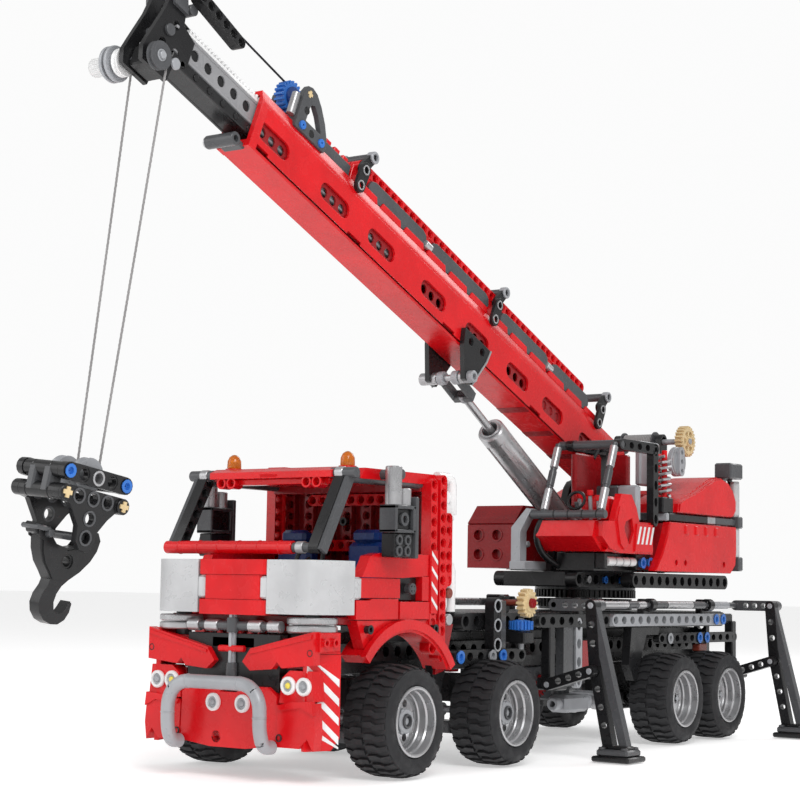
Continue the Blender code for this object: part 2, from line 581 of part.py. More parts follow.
def cylinder():
    barrel = rod("cylinder_barrel", "Z", (0, 0), BARREL_R, *BARREL_S, bore=BORE_R, n=24, frame=CYLINDER)
    fuse(barrel, rod("base", "Z", (0, 0), BARREL_R - 0.6, BARREL_S[0] - 6, BARREL_S[0] + 12, n=24,
                     frame=CYLINDER))
    fuse(barrel, box("neck", (-6, 6), (-6, 6), (5.0, BARREL_S[0]), frame=CYLINDER))
    fuse(barrel, rod("eye", "X", (0, 0), 7.0, -8, 8, frame=CYLINDER))
    cut(barrel, rod("bore", "X", (0, 0), 3.3, -12, 12, frame=CYLINDER))
    finish(barrel, SILVER, 0.3, 0.3, axis=(0, *PIN_O))
    top = CYLINDER_LEN
    rod_piece = rod("cylinder_rod", "Z", (0, 0), ROD_R, top - ROD_LEN, top - 5, n=16, frame=CYLINDER)
    clevis = [(-6.5, top + 3), (6.5, top + 3), (6.5, top - 12), (3.5, top - 26), (-3.5, top - 26),
              (-6.5, top - 12)]
    fuse(rod_piece, plate("clevis", "X", clevis, -9, 9, frame=CYLINDER))
    fuse(rod_piece, rod("eye", "X", (0, top), 6.8, -9.4, 9.4, frame=CYLINDER))
    cut(rod_piece, rod("bore", "X", (0, top), 4.3, -12, 12, frame=CYLINDER))
    finish(rod_piece, SILVER, 0.25, 0.5, axis=(0, *PIN_T))


def hook_block():
    reach, row, pin = BLOCK_REACH, -ROW_DROP, -HOOK_PIN_DROP
    side = [(-25, -4.3), (25, -4.3), (25, row - 3), (12, row - 7), (6, pin + 2), (6, pin - 5), (-6, pin - 5),
            (-6, pin + 2), (-12, row - 7), (-25, row - 3)]
    ends = [sorted((s * BLOCK_X[0], s * BLOCK_X[1])) for s in (1, -1)]
    block = rod("hook_block", "X", (-reach, 0), 4.6, -18, 18, frame=BLOCK)
    fuse(block, joined([plate("plate", "X", side, *span, frame=BLOCK) for span in ends]))
    fuse(block, joined([plate("bar", "X", stadium((-reach, 0), (reach, 0), 5.0), *span, frame=BLOCK)
                        for span in ends]))
    for spot in ((-reach, row), (reach, row)):
        fuse(block, rod("tube", "X", spot, 4.4, -21, 21, frame=BLOCK))
    fuse(block, rod("rear_tube", "X", (reach, 0), 4.6, -18, 18, frame=BLOCK))
    fuse(block, rod("sheaves", "X", (0, 1), 8.0, -14, 14, frame=BLOCK))
    fuse(block, rod("sheave_pin", "X", (0, 0), 3.0, -17, 17, frame=BLOCK))
    fuse(block, rod("hook_pin", "X", (0, pin), 2.4, -16, 16, frame=BLOCK))
    finish(block, BLACK, axis=(0, 0, 0), frame=BLOCK)


def hook():
    pin = -HOOK_PIN_DROP
    blade = [(-22, pin + 3), (-14, pin - 2), (-12, pin - 16), (-4, pin - 26), (3, pin - 27), (16, pin - 15),
             (22, pin - 3), (20, pin + 4), (6, pin + 7), (-6, pin + 7)]
    body = plate("hook", "X", blade, -4.0, 4.0, (circle((0, pin), 2.8, 12),), frame=BLOCK)
    bend = arc((1, pin - 38.5), 7.4, 130, 372, 12)
    path = [(0.0, -2, pin - 24)] + [(0.0, a, b) for a, b in bend]
    fuse(body, tube("bend", path, 2.8, frame=BLOCK))
    finish(body, BLACK, axis=(0, 0, pin), frame=BLOCK)


def upper_works():
    super_frame()
    rear_covers()
    operator_cab()
    winch()
    boom_outer()
    boom_inner()
    cylinder()
    hook_block()
    hook()


for leftover in list(bpy.data.objects):
    bpy.data.objects.remove(leftover)
PARTS = bpy.data.collections.new("mobile_crane_truck")
CUTTERS = bpy.data.collections.new("cutters")
for group in (PARTS, CUTTERS):
    bpy.context.scene.collection.children.link(group)
running_gear()
carrier()
cab()
upper_works()
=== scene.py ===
"""Looks for the toy mobile crane truck: studless construction-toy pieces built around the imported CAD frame.

Lengths are drawing units (UNIT metres each) in the truck's own frame: x to the truck's left, y = 0 at the
front axle and growing rearwards, z up from the ground. The boom, luffing cylinder, falls and hook block each
get a frame of their own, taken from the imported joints. Shapes are collected by group and material; each such
pile becomes one piece that rides on its CAD body.
"""
import json
import math
from collections import defaultdict
from functools import lru_cache
from itertools import product

import bpy
from mathutils import Matrix, Vector
from mathutils.geometry import tessellate_polygon


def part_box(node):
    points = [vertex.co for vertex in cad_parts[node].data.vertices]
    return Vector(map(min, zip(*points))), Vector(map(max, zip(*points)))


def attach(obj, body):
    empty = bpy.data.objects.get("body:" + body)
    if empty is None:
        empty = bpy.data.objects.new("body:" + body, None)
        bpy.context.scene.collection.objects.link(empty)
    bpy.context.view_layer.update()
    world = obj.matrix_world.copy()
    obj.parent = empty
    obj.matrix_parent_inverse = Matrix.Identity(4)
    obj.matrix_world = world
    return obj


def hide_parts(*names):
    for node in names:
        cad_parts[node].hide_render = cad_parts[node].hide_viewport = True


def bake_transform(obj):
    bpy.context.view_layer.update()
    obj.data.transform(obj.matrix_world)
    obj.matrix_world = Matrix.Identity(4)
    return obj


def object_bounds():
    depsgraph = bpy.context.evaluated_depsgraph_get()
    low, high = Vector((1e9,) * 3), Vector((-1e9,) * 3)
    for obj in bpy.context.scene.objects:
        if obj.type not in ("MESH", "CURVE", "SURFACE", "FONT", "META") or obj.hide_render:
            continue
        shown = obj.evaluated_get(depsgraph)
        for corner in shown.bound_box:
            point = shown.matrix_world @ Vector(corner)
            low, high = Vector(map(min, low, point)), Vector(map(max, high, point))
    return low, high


UNIT = 0.008 / 12.97         # metres per drawing unit: holes 12.97 units apart are 8 mm apart
PITCH = 8.0                  # hole spacing of the small beams on cab and boom
BEAM = 7.4                   # height and thickness of the small beams
HOLE_PITCH = 13.0            # hole spacing of the large beams
HOLE, RIM, SINK = 2.45, 3.15, 0.8   # pin hole's radius, its rim's radius and the rim's depth
AXLE = 2.35                  # cross axle's radius
SIDES = (1, -1)              # left and right, as the sign of x
MARKED_SIDES = (("L", 1), ("R", -1))
TYRE_R, TYRE_HALF, BEAD_R = 34.35, 17.0, 21.6   # tyre's radius, half width and inner radius
WHEEL_Z = TYRE_R             # height of the wheel centres
STEERED_Y, DRIVEN_Y = (0.0, 116.0), (362.5, 440.0)   # front and rear axles
KING_X = 48.0                # the steered wheels' king pins
SLEW_Y = 360.0               # centre of the slewing ring
FOOT_DROP = 5.1              # the boom's pivot lies this far under its bottom face
HOOK_PIN_DROP = 33.0         # the hook's pin lies this far under the block's centre
# (y, z) of axles that lie along x: two pins in the upper works' cheeks, the winch and the two cranks.
BOOM_PIN, RAM_PIN = (376.0, 192.0), (365.0, 143.5)
WINCH, LUFF_CRANK, OUTRIGGER_CRANK = (452.0, 239.0), (414.0, 219.5), (160.0, 106.0)

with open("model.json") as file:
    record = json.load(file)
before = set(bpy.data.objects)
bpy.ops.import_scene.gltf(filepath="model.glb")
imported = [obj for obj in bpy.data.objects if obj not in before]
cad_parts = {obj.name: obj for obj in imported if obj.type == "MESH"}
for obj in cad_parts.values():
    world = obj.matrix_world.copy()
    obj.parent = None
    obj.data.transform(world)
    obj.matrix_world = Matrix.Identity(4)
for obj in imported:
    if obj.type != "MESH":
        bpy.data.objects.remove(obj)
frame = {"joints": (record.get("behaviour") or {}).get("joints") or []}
CAD_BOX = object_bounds()
JOINTS = {j["name"]: j for j in frame["joints"]}


def middle(node):
    low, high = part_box(node)
    return (low + high) / 2


def joint_frame(point, z_axis):
    """Frame at a joint, x to the truck's left and z along z_axis, scaled to drawing units."""
    z = Vector(z_axis).normalized()
    x = Vector((1.0, 0.0, 0.0))
    y = z.cross(x)
    rows = Matrix((x, y, z)).transposed().to_4x4()
    return Matrix.Translation(point) @ rows @ Matrix.Scale(UNIT, 4)


TRUCK = Matrix.Translation((0.0, middle("wheel_1L").y, 0.0)) @ Matrix.Scale(UNIT, 4)
ALONG = Vector(JOINTS["extend"]["axis"])
BOOM_UP = ALONG.cross(Vector((1.0, 0.0, 0.0))).normalized()
BOOM = joint_frame(JOINTS["luff"]["pos_m"], BOOM_UP) @ Matrix.Translation((0.0, 0.0, FOOT_DROP))
BASE, TOP = (Vector(JOINTS[name]["pos_m"]) for name in ("cylinder_swing", "rod_swing"))
CYLINDER = joint_frame(BASE, TOP - BASE)
STROKE = (TOP - BASE).length / UNIT
FALLS = joint_frame(JOINTS["falls_swing"]["pos_m"], -Vector(JOINTS["hoist"]["axis"]))
HOOK_X = Vector(JOINTS["hook_swing"]["axis"])
FALL_UP = -Vector(JOINTS["hoist"]["axis"])
HOOK_Z = (FALL_UP - FALL_UP.dot(HOOK_X) * HOOK_X).normalized()
HOOK_ROWS = Matrix((HOOK_X, HOOK_Z.cross(HOOK_X), HOOK_Z)).transposed().to_4x4()
BLOCK = (Matrix.Translation(JOINTS["hook_swing"]["pos_m"]) @ HOOK_ROWS @ Matrix.Scale(UNIT, 4)
         @ Matrix.Translation((0.0, 0.0, HOOK_PIN_DROP)))


# ---------------------------------------------------------------- shapes: (points, faces) in drawing units

def circle(centre, r, n=14):
    return [(centre[0] + r * math.cos(2 * math.pi * i / n), centre[1] + r * math.sin(2 * math.pi * i / n))
            for i in range(n)]


def arc(centre, r, start, stop, n=8):
    steps = [math.radians(start + (stop - start) * i / n) for i in range(n + 1)]
    return [(centre[0] + r * math.cos(a), centre[1] + r * math.sin(a)) for a in steps]


def capsule(p, q, r, n=7):
    turn = math.degrees(math.atan2(q[1] - p[1], q[0] - p[0]))
    return arc(q, r, turn - 90, turn + 90, n) + arc(p, r, turn + 90, turn + 270, n)


def rounded(a0, a1, b0, b1, r=1.0, n=3):
    return (arc((a1 - r, b0 + r), r, -90, 0, n) + arc((a1 - r, b1 - r), r, 0, 90, n)
            + arc((a0 + r, b1 - r), r, 90, 180, n) + arc((a0 + r, b0 + r), r, 180, 270, n))


def ccw(loop):
    area = sum(a[0] * b[1] - b[0] * a[1] for a, b in zip(loop, loop[1:] + loop[:1]))
    return list(loop) if area > 0 else list(reversed(loop))


def slab(outline, lo, hi, holes=(), sunk=()):
    """Outline extruded between lo and hi; holes are plain loops, sunk are (x, y) of rimmed pin holes."""
    lo, hi = sorted((lo, hi))
    loops = [ccw(outline)] + [ccw(h)[::-1] for h in holes] + [circle(c, RIM, 12)[::-1] for c in sunk]
    flat = [p for loop in loops for p in loop]
    tris = tessellate_polygon([[Vector((*p, 0.0)) for p in loop] for loop in loops])
    points = [(*p, lo) for p in flat] + [(*p, hi) for p in flat]
    size, faces = len(flat), []
    for a, b, c in tris:
        (ax, ay), (bx, by), (cx, cy) = flat[a], flat[b], flat[c]
        turn = (bx - ax) * (cy - ay) - (by - ay) * (cx - ax)
        a, b, c = (a, b, c) if turn > 0 else (c, b, a)
        faces += [(a + size, b + size, c + size), (c, b, a)]
    start = 0
    for number, loop in enumerate(loops):
        n = len(loop)
        if number <= len(holes):
            faces += [(start + i, start + (i + 1) % n, start + (i + 1) % n + size, start + i + size)
                      for i in range(n)]
        else:
            centre = sunk[number - 1 - len(holes)]
            rim, inner = (circle(centre, r, n)[::-1] for r in (RIM, HOLE))
            bands = [(rim, lo + SINK), (inner, lo + SINK), (inner, hi - SINK), (rim, hi - SINK)]
            rings = [start]
            for edge, height in bands:
                rings.append(len(points))
                points += [(*p, height) for p in edge]
            rings.append(start + size)
            for r0, r1 in zip(rings, rings[1:]):
                faces += [(r0 + i, r0 + (i + 1) % n, r1 + (i + 1) % n, r1 + i) for i in range(n)]
        start += n
    return points, faces


def turned(profile, n=20, closed=True):
    """Loop of (radius, height) turned about z."""
    points = [(r * math.cos(2 * math.pi * k / n), r * math.sin(2 * math.pi * k / n), h) for k in range(n)
              for r, h in profile]
    size = len(profile)
    last = size if closed else size - 1
    faces = [(k * size + i, (k + 1) % n * size + i, (k + 1) % n * size + (i + 1) % size,
              k * size + (i + 1) % size) for k in range(n) for i in range(last)]
    return points, faces


def ring(inner, outer, lo, hi, n=20):
    """Square-edged ring about z."""
    return turned([(inner, lo), (outer, lo), (outer, hi), (inner, hi)], n)


def band(inner, outer, half, flat, n=18):
    """Raised band about z with sloping sides."""
    return turned([(inner, -half), (outer, -flat), (outer, flat), (inner, half)], n)


def cylinder(r, lo, hi, n=16, bore=None, edge=0.35):
    """Round bar about z with bevelled ends, hollow if it has a bore."""
    if bore:
        return turned([(r, hi - edge), (r - edge, hi), (bore, hi), (bore, lo), (r - edge, lo),
                       (r, lo + edge)], n)
    points, faces = turned([(r - edge, lo), (r, lo + edge), (r, hi - edge), (r - edge, hi)], n,
                           closed=False)
    faces.append(tuple(4 * k for k in reversed(range(n))))
    faces.append(tuple(4 * k + 3 for k in range(n)))
    return points, faces


def swept(path, r, n=8):
    """Round bar along a polyline."""
    path = [Vector(p) for p in path]
    points, side = [], None
    for i, p in enumerate(path):
        ahead = (path[min(i + 1, len(path) - 1)] - path[max(i - 1, 0)]).normalized()
        side = ahead.orthogonal() if side is None else side - side.dot(ahead) * ahead
        side.normalize()
        up = ahead.cross(side)
        points += [tuple(p + r * (math.cos(2 * math.pi * k / n) * side
                                  + math.sin(2 * math.pi * k / n) * up)) for k in range(n)]
    faces = [(i * n + k, i * n + (k + 1) % n, (i + 1) * n + (k + 1) % n, (i + 1) * n + k)
             for i in range(len(path) - 1) for k in range(n)]
    faces += [tuple(reversed(range(n))), tuple((len(path) - 1) * n + k for k in range(n))]
    return points, faces


def smooth_path(path, rounds=3):
    """Polyline with its corners cut round after round; the ends stay."""
    for _ in range(rounds):
        cut = [path[0]]
        for a, b in zip(path, path[1:]):
            a, b = Vector(a), Vector(b)
            cut += [a.lerp(b, 0.25), a.lerp(b, 0.75)]
        path = cut + [path[-1]]
    return path


@lru_cache(None)
def beam(count):
    """Studless beam along x with its first hole at the origin and its holes along z."""
    end = (count - 1) * PITCH
    return slab(capsule((0, 0), (end, 0), BEAM / 2), -BEAM / 2, BEAM / 2,
                sunk=[(i * PITCH, 0) for i in range(count)])


@lru_cache(None)
def cross(length, r=AXLE, arm=0.95):
    """Cross-shaped axle along z, centred."""
    loop = [(arm, arm), (arm, r), (-arm, r), (-arm, arm), (-r, arm), (-r, -arm), (-arm, -arm), (-arm, -r),
            (arm, -r), (arm, -arm), (r, -arm), (r, arm)]
    return slab(loop, -length / 2, length / 2)


@lru_cache(None)
def pin(length=8.0):
    """Hollow connector pin with a flange at each end."""
    h = length / 2
    return turned([(2.4, -h), (2.4, h - 0.5), (2.95, h - 0.3), (2.95, h), (1.55, h), (1.4, h - 2.5),
                   (0.3, h - 2.5), (0.3, -h + 2.5), (1.4, -h + 2.5), (1.55, -h), (2.0, -h)], 12)


@lru_cache(None)
def bush(length=7.6):
    """Spacer sleeve with a collar at each end."""
    h = length / 2
    return turned([(2.5, -h), (3.6, -h), (3.7, -h + 0.4), (3.7, -h + 1.8), (3.0, -h + 2.0), (3.0, h - 2.0),
                   (3.7, h - 1.8), (3.7, h - 0.4), (3.6, h), (2.5, h)], 16)


def toothed(teeth, r, depth, root=0.3, tip=0.18):
    """Outline of a toothed wheel; root and tip are a tooth's half widths as parts of the pitch."""
    step = 2 * math.pi / teeth
    tooth = [(-root, r - depth), (-tip, r), (tip, r), (root, r - depth)]
    return [(rad * math.cos((i + s) * step), rad * math.sin((i + s) * step)) for i in range(teeth)
            for s, rad in tooth]


@lru_cache(None)
def gear(teeth, r, width, holes=0):
    """Toothed wheel about z with a hub and, if asked for, a circle of round holes."""
    loop = toothed(teeth, r, 2.0, 0.34, 0.2)
    windows = [circle((0.55 * r * math.cos(a), 0.55 * r * math.sin(a)), HOLE, 10)
               for a in (2 * math.pi * k / holes for k in range(holes))] if holes else []
    parts = [slab(loop, -width / 2, width / 2, windows + [circle((0, 0), AXLE, 12)]),
             ring(AXLE, 3.8, -width / 2 - 1, width / 2 + 1, 16)]
    return merge(parts)


def merge(parts):
    points, faces = [], []
    for p, f in parts:
        base = len(points)
        points += p
        faces += [tuple(i + base for i in face) for face in f]
    return points, faces


def box(xs, ys, zs, r=0.4):
    """Block with bevelled edges."""
    (x0, x1), (y0, y1), (z0, z1) = sorted(xs), sorted(ys), sorted(zs)
    rings = [(r, z0), (0.0, z0 + r), (0.0, z1 - r), (r, z1)]
    points = [(*p, z) for inset, z in rings
              for p in rounded(x0 + inset, x1 - inset, y0 + inset, y1 - inset, max(r - inset * 0.6, 0.05),
                               1)]
    n = len(points) // 4
    faces = [(k * n + i, k * n + (i + 1) % n, (k + 1) * n + (i + 1) % n, (k + 1) * n + i) for k in range(3)
             for i in range(n)]
    return points, faces + [tuple(reversed(range(n))), tuple(3 * n + i for i in range(n))]


# ---------------------------------------------------------------- placing

AXES = {"X": Matrix(((0, 0, 1, 0), (1, 0, 0, 0), (0, 1, 0, 0), (0, 0, 0, 1))),
        "Y": Matrix(((1, 0, 0, 0), (0, 0, -1, 0), (0, 1, 0, 0), (0, 0, 0, 1))), "Z": Matrix.Identity(4)}


def at(x, y, z, axis="Z", turn=0.0):
    """Placement: the shape's z along an axis of the frame, turned about it by degrees, at a point.

    On "X" the shape's x runs along y and its y along z; on "Y" its x runs along x and its y along z.
    """
    return Matrix.Translation((x, y, z)) @ AXES[axis] @ Matrix.Rotation(math.radians(turn), 4, "Z")


def between(p, q):
    """Placement with the shape's z running from p to q, origin at p."""
    p, q = Vector(p), Vector(q)
    return Matrix.Translation(p) @ (q - p).to_track_quat("Z", "X").to_matrix().to_4x4()


def proud(s, x, depth):
    """Start of a shape that reaches depth along +x and stands out from the face at x on side s."""
    return s * x if s > 0 else s * x - depth


def facing(s):
    """Half turn that lets a shape made for the left side point outward on the right."""
    return Matrix.Identity(4) if s > 0 else Matrix.Rotation(math.pi, 4, "X")


BINS = defaultdict(lambda: ([], []))    # (group name, material) -> points, faces
GROUPS = []


class Group:
    """Collects shapes for one body in one frame; each material becomes one piece."""

    def __init__(self, name, body, base=TRUCK, replaces=()):
        self.name, self.body, self.base, self.replaces = name, body, base, tuple(replaces)
        GROUPS.append(self)

    def add(self, material, shape, where=Matrix.Identity(4)):
        points, faces = shape
        whole = self.base @ where
        flip = whole.determinant() < 0
        store_points, store_faces = BINS[(self.name, material)]
        start = len(store_points)
        store_points += [tuple(whole @ Vector(p)) for p in points]
        store_faces += [tuple(start + i for i in (reversed(face) if flip else face)) for face in faces]

    def rod(self, material, p, q, r=AXLE, n=12, bore=None):
        length = (Vector(q) - Vector(p)).length
        self.add(material, cylinder(r, 0.0, length, n, bore), between(p, q))

    def box(self, material, xs, ys, zs, r=0.4, where=Matrix.Identity(4)):
        self.add(material, box(xs, ys, zs, r), where)

    def plate(self, material, axis, outline, lo, hi, holes=(), sunk=()):
        """Slab across an axis, from lo to hi on it; a shape's z runs against the frame's y."""
        sign = -1 if axis == "Y" else 1
        self.add(material, slab(outline, sign * lo, sign * hi, holes, sunk), at(0, 0, 0, axis))

    def pin(self, material, x, y, z, axis="X", length=8.0):
        self.add(material, pin(length), at(x, y, z, axis))

    def tube(self, material, path, r, n=8, rounds=0):
        self.add(material, swept(smooth_path(path, rounds) if rounds else path, r, n))


# ---------------------------------------------------------------- materials

# The darkened red (about two fifths of red) is painted shade: it stands on red faces in recesses, inside the
# cabs, under things and turned from the lamps.
COLOURS = {"red": (0.66, 0.004, 0.008), "dark_red": (0.27, 0.005, 0.008), "black": (0.012, 0.012, 0.013),
           "dark_grey": (0.075, 0.077, 0.082), "grey": (0.27, 0.27, 0.28), "light_grey": (0.36, 0.37, 0.39),
           "silver": (0.46, 0.46, 0.47), "white": (0.8, 0.8, 0.8), "pearl": (0.56, 0.565, 0.575),
           "blue": (0.03, 0.16, 0.55), "deep_blue": (0.012, 0.05, 0.22), "tan": (0.72, 0.55, 0.3),
           "brown": (0.2, 0.04, 0.025), "rubber": (0.022, 0.022, 0.024), "amber": (0.85, 0.25, 0.02),
           "yellow": (0.8, 0.65, 0.1), "rope": (0.3, 0.29, 0.29), "cord": (0.015, 0.016, 0.02),
           "hose": (0.01, 0.01, 0.011)}
FINISH = {name: (0.24, 0.0) for name in COLOURS}    # roughness, metallic
FINISH.update(silver=(0.3, 0.7), pearl=(0.3, 0.25), light_grey=(0.34, 0.15), rubber=(0.62, 0.0),
              rope=(0.9, 0.0), cord=(0.85, 0.0), hose=(0.45, 0.0), amber=(0.1, 0.0), black=(0.28, 0.0),
              white=(0.28, 0.0))


class Nodes:
    """A new material whose nodes are added and joined up by value."""

    def __init__(self, name):
        self.material = bpy.data.materials.new(name)
        self.material.use_nodes = True
        self.tree = self.material.node_tree
        self.shader = self.tree.nodes["Principled BSDF"]

    def node(self, kind, **inputs):
        made = self.tree.nodes.new(kind)
        for key, value in inputs.items():
            socket = made.inputs[key.replace("_", " ")]
            if isinstance(value, bpy.types.NodeSocket):
                self.tree.links.new(value, socket)
            else:
                socket.default_value = value
        return made

    def link(self, value, name):
        self.tree.links.new(value, self.shader.inputs[name])


def position(kit):
    """Object position in metres."""
    coords = kit.tree.nodes.new("ShaderNodeTexCoord").outputs["Object"]
    return kit.node("ShaderNodeMapping", Vector=coords, Scale=(1.0,) * 3).outputs["Vector"]


def ramp(kit, value, low, high, lo=0.0, hi=1.0):
    """Value mapped from lo..hi to low..high."""
    return kit.node("ShaderNodeMapRange", Value=value, From_Min=lo, From_Max=hi, To_Min=low,
                    To_Max=high).outputs["Result"]


def tint(kit, factor, dark, light):
    """Colour between dark and light."""
    mix = kit.tree.nodes.new("ShaderNodeMix")
    mix.data_type = "RGBA"
    kit.tree.links.new(factor, mix.inputs["Factor"])
    mix.inputs["A"].default_value, mix.inputs["B"].default_value = (*dark, 1.0), (*light, 1.0)
    return mix.outputs["Result"]


@lru_cache(None)
def material(name):
    """Moulded plastic or rubber with grain, handling marks, uneven gloss and softened edges."""
    kit = Nodes(f"mat_{name}")
    colour, (rough, metal) = COLOURS[name], FINISH[name]
    where = position(kit)
    cloud = kit.node("ShaderNodeTexNoise", Vector=where, Scale=60.0, Detail=3.0).outputs["Fac"]
    smudge = kit.node("ShaderNodeTexNoise", Vector=where, Scale=220.0, Detail=4.0,
                      Distortion=0.6).outputs["Fac"]
    grain = kit.node("ShaderNodeTexNoise", Vector=where, Scale=4000.0, Detail=2.0).outputs["Fac"]
    streak = kit.node("ShaderNodeMapping", Vector=where, Rotation=(0.5, 0.3, 0.9),
                      Scale=(1400.0, 50.0, 1400.0))
    scratch = kit.node("ShaderNodeTexNoise", Vector=streak.outputs["Vector"], Scale=1.0,
                       Detail=2.0).outputs["Fac"]
    shade = tint(kit, ramp(kit, cloud, 0.0, 1.0, 0.35, 0.65), [0.9 * c for c in colour],
                 [min(1.0, 1.07 * c) for c in colour])
    kit.link(shade, "Base Color")
    kit.link(ramp(kit, smudge, rough * 0.75, rough * 1.35, 0.3, 0.7), "Roughness")
    kit.shader.inputs["Metallic"].default_value = metal
    kit.shader.inputs["Specular IOR Level"].default_value = 0.32
    if name in ("rubber", "rope", "cord"):
        height, depth, reach = grain, 0.5, 0.0002
    else:
        kit.shader.inputs["Coat Weight"].default_value = 0.08
        kit.shader.inputs["Coat Roughness"].default_value = 0.12
        height, depth, reach = ramp(kit, scratch, 0.0, 1.0, 0.62, 0.72), 0.06, 0.0001
    edge = kit.tree.nodes.new("ShaderNodeBevel")
    edge.samples = 4
    edge.inputs["Radius"].default_value = 0.0002
    bump = kit.node("ShaderNodeBump", Height=height, Strength=depth, Distance=reach,
                    Normal=edge.outputs["Normal"])
    kit.link(bump.outputs["Normal"], "Normal")
    if name == "amber":
        kit.shader.inputs["Transmission Weight"].default_value = 0.45
    return kit.material


def mesh_object(name, points, faces, colour):
    mesh = bpy.data.meshes.new(name)
    mesh.from_pydata(points, [], faces)
    mesh.materials.append(material(colour))
    obj = bpy.data.objects.new(name, mesh)
    bpy.context.scene.collection.objects.link(obj)
    return obj


def build(group):
    """One object per material of the group, riding on its body."""
    first = None
    for (name, colour), (points, faces) in list(BINS.items()):
        if name != group.name:
            continue
        obj = mesh_object(f"{name}_{colour}", points, faces, colour)
        obj.data.polygons.foreach_set("use_smooth", [True] * len(obj.data.polygons))
        obj.data.set_sharp_from_angle(angle=math.radians(34))
        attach(obj, group.body)
        first = first or obj
    if group.replaces:
        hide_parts(*group.replaces)


# ---------------------------------------------------------------- wheels

TREADS = 30


def tyre_shape():
    """Carcass with a sidewall step, then two staggered rows of lugs and shoulder blocks."""
    shoulder = [(BEAD_R, 15.4), (22.6, 16.4), (24.6, 16.9), (27.6, TYRE_HALF), (28.4, 16.6), (31.0, 15.8),
                (32.0, 13.8), (32.6, 9.0)]
    parts = [turned(shoulder + [(r, -h) for r, h in reversed(shoulder)], 60)]
    step = 2 * math.pi / TREADS
    for i in range(TREADS):
        for side in SIDES:
            turn = (i + 0.25 * side) * step
            spin = Matrix.Rotation(turn, 4, "Z")
            lug = [(0.8, -2.6), (6.6, -2.9), (9.4, -1.3), (15.2, -2.0), (15.2, 1.5), (9.8, 2.3), (6.2, 0.6),
                   (0.8, 0.8)]
            points, faces = slab([(side * a, b) for a, b in lug], 31.8, TYRE_R - 0.15)
            bend = Matrix(((0, 0, 1, 0), (0, 1, 0, 0), (1, 0, 0, 0), (0, 0, 0, 1)))
            whole = spin @ bend
            points = [(p[0], p[1], p[2] - max(0.0, abs(p[0]) - 9.0) * 0.28) for p in points]
            parts.append(([tuple(whole @ Vector(p)) for p in points], [f[::-1] for f in faces]))
    return merge(parts)


def rim_shape():
    """Barrel with its lip and ledges."""
    barrel = [(21.4, 16.6), (21.4, -16.4), (19.4, -16.4), (18.2, -12.0), (17.9, 1.0), (17.9, 5.2),
              (18.6, 6.0), (18.6, 10.5), (19.5, 11.5), (19.5, 16.6), (20.4, 17.0)]
    return turned(barrel, 48)


def disc_shape():
    """Dished centre with its six round holes."""
    holes = [circle((11.9 * math.cos(a), 11.9 * math.sin(a)), HOLE, 10)
             for a in (math.radians(60 * k) for k in range(6))]
    face = slab(circle((0, 0), 18.3, 40), 0.6, 3.4, holes + [circle((0, 0), 5.0, 16)])
    ridge = turned([(16.6, 3.2), (16.6, 4.2), (15.6, 4.6), (15.0, 3.2)], 40)
    return merge([face, ridge])


@lru_cache(None)
def wheel_parts():
    return tyre_shape(), rim_shape(), disc_shape()


def dress_wheel(group, centre, side, steered):
    tyre, rim, disc = wheel_parts()
    x, y, z = centre
    place = at(x, y, z, "X") @ facing(side)
    group.add("rubber", tyre, place)
    group.add("silver", rim, place)
    group.add("silver", disc, place)
    lift = Matrix.Translation((0, 0, 3.0))
    if steered:
        group.add("light_grey", turned([(5.6, -6), (5.6, 6.6), (7.6, 7.2), (7.6, 8.8), (6.9, 9.4),
                                        (4.6, 9.4), (4.6, -6)], 24), place)
        group.add("dark_grey", turned([(4.4, 0), (4.4, 7.5), (3.2, 7.8), (3.2, 0)], 16), place @ lift)
        for k in range(3):
            lug = Matrix.Rotation(math.radians(120 * k), 4, "Z")
            group.add("light_grey", box((6.9, 8.6), (-1.3, 1.3), (6.8, 9.2)), place @ lug)
    else:
        group.add("dark_grey", turned([(4.8, -6), (4.8, 6.2), (4.2, 6.8), (2.4, 6.8), (2.4, -6)], 20),
                  place)
        group.add("light_grey", turned([(7.2, 3.0), (7.2, 4.4), (6.2, 5.0), (4.8, 5.0), (4.8, 3.0)], 24),
                  place)
    group.add("light_grey", cross(11.0), place @ lift)


def wheels():
    low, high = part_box("wheel_1L")
    x = (low.x + high.x) / 2 / UNIT
    inverse = TRUCK.inverted()
    for number in (1, 2, 3, 4):
        if number > 2:
            axle = Group(f"axle_{number}_set", f"axle_{number}", replaces=(f"axle_{number}",))
        for mark, side in MARKED_SIDES:
            centre = inverse @ middle(f"tyre_{number}{mark}")
            if number < 3:
                body = Group(f"wheel_set_{number}{mark}", f"wheel_{number}{mark}",
                             replaces=(f"wheel_{number}{mark}", f"tyre_{number}{mark}"))
            else:
                body = axle
                axle.replaces += (f"tyre_{number}{mark}",)
            dress_wheel(body, (side * x, centre.y, centre.z), side, number < 3)
        if number > 2:
            axle.add("light_grey", cross(160.0), at(0, centre.y, centre.z, "X"))
            for s in SIDES:
                axle.add("dark_grey", bush(), at(s * 42, centre.y, centre.z, "X"))


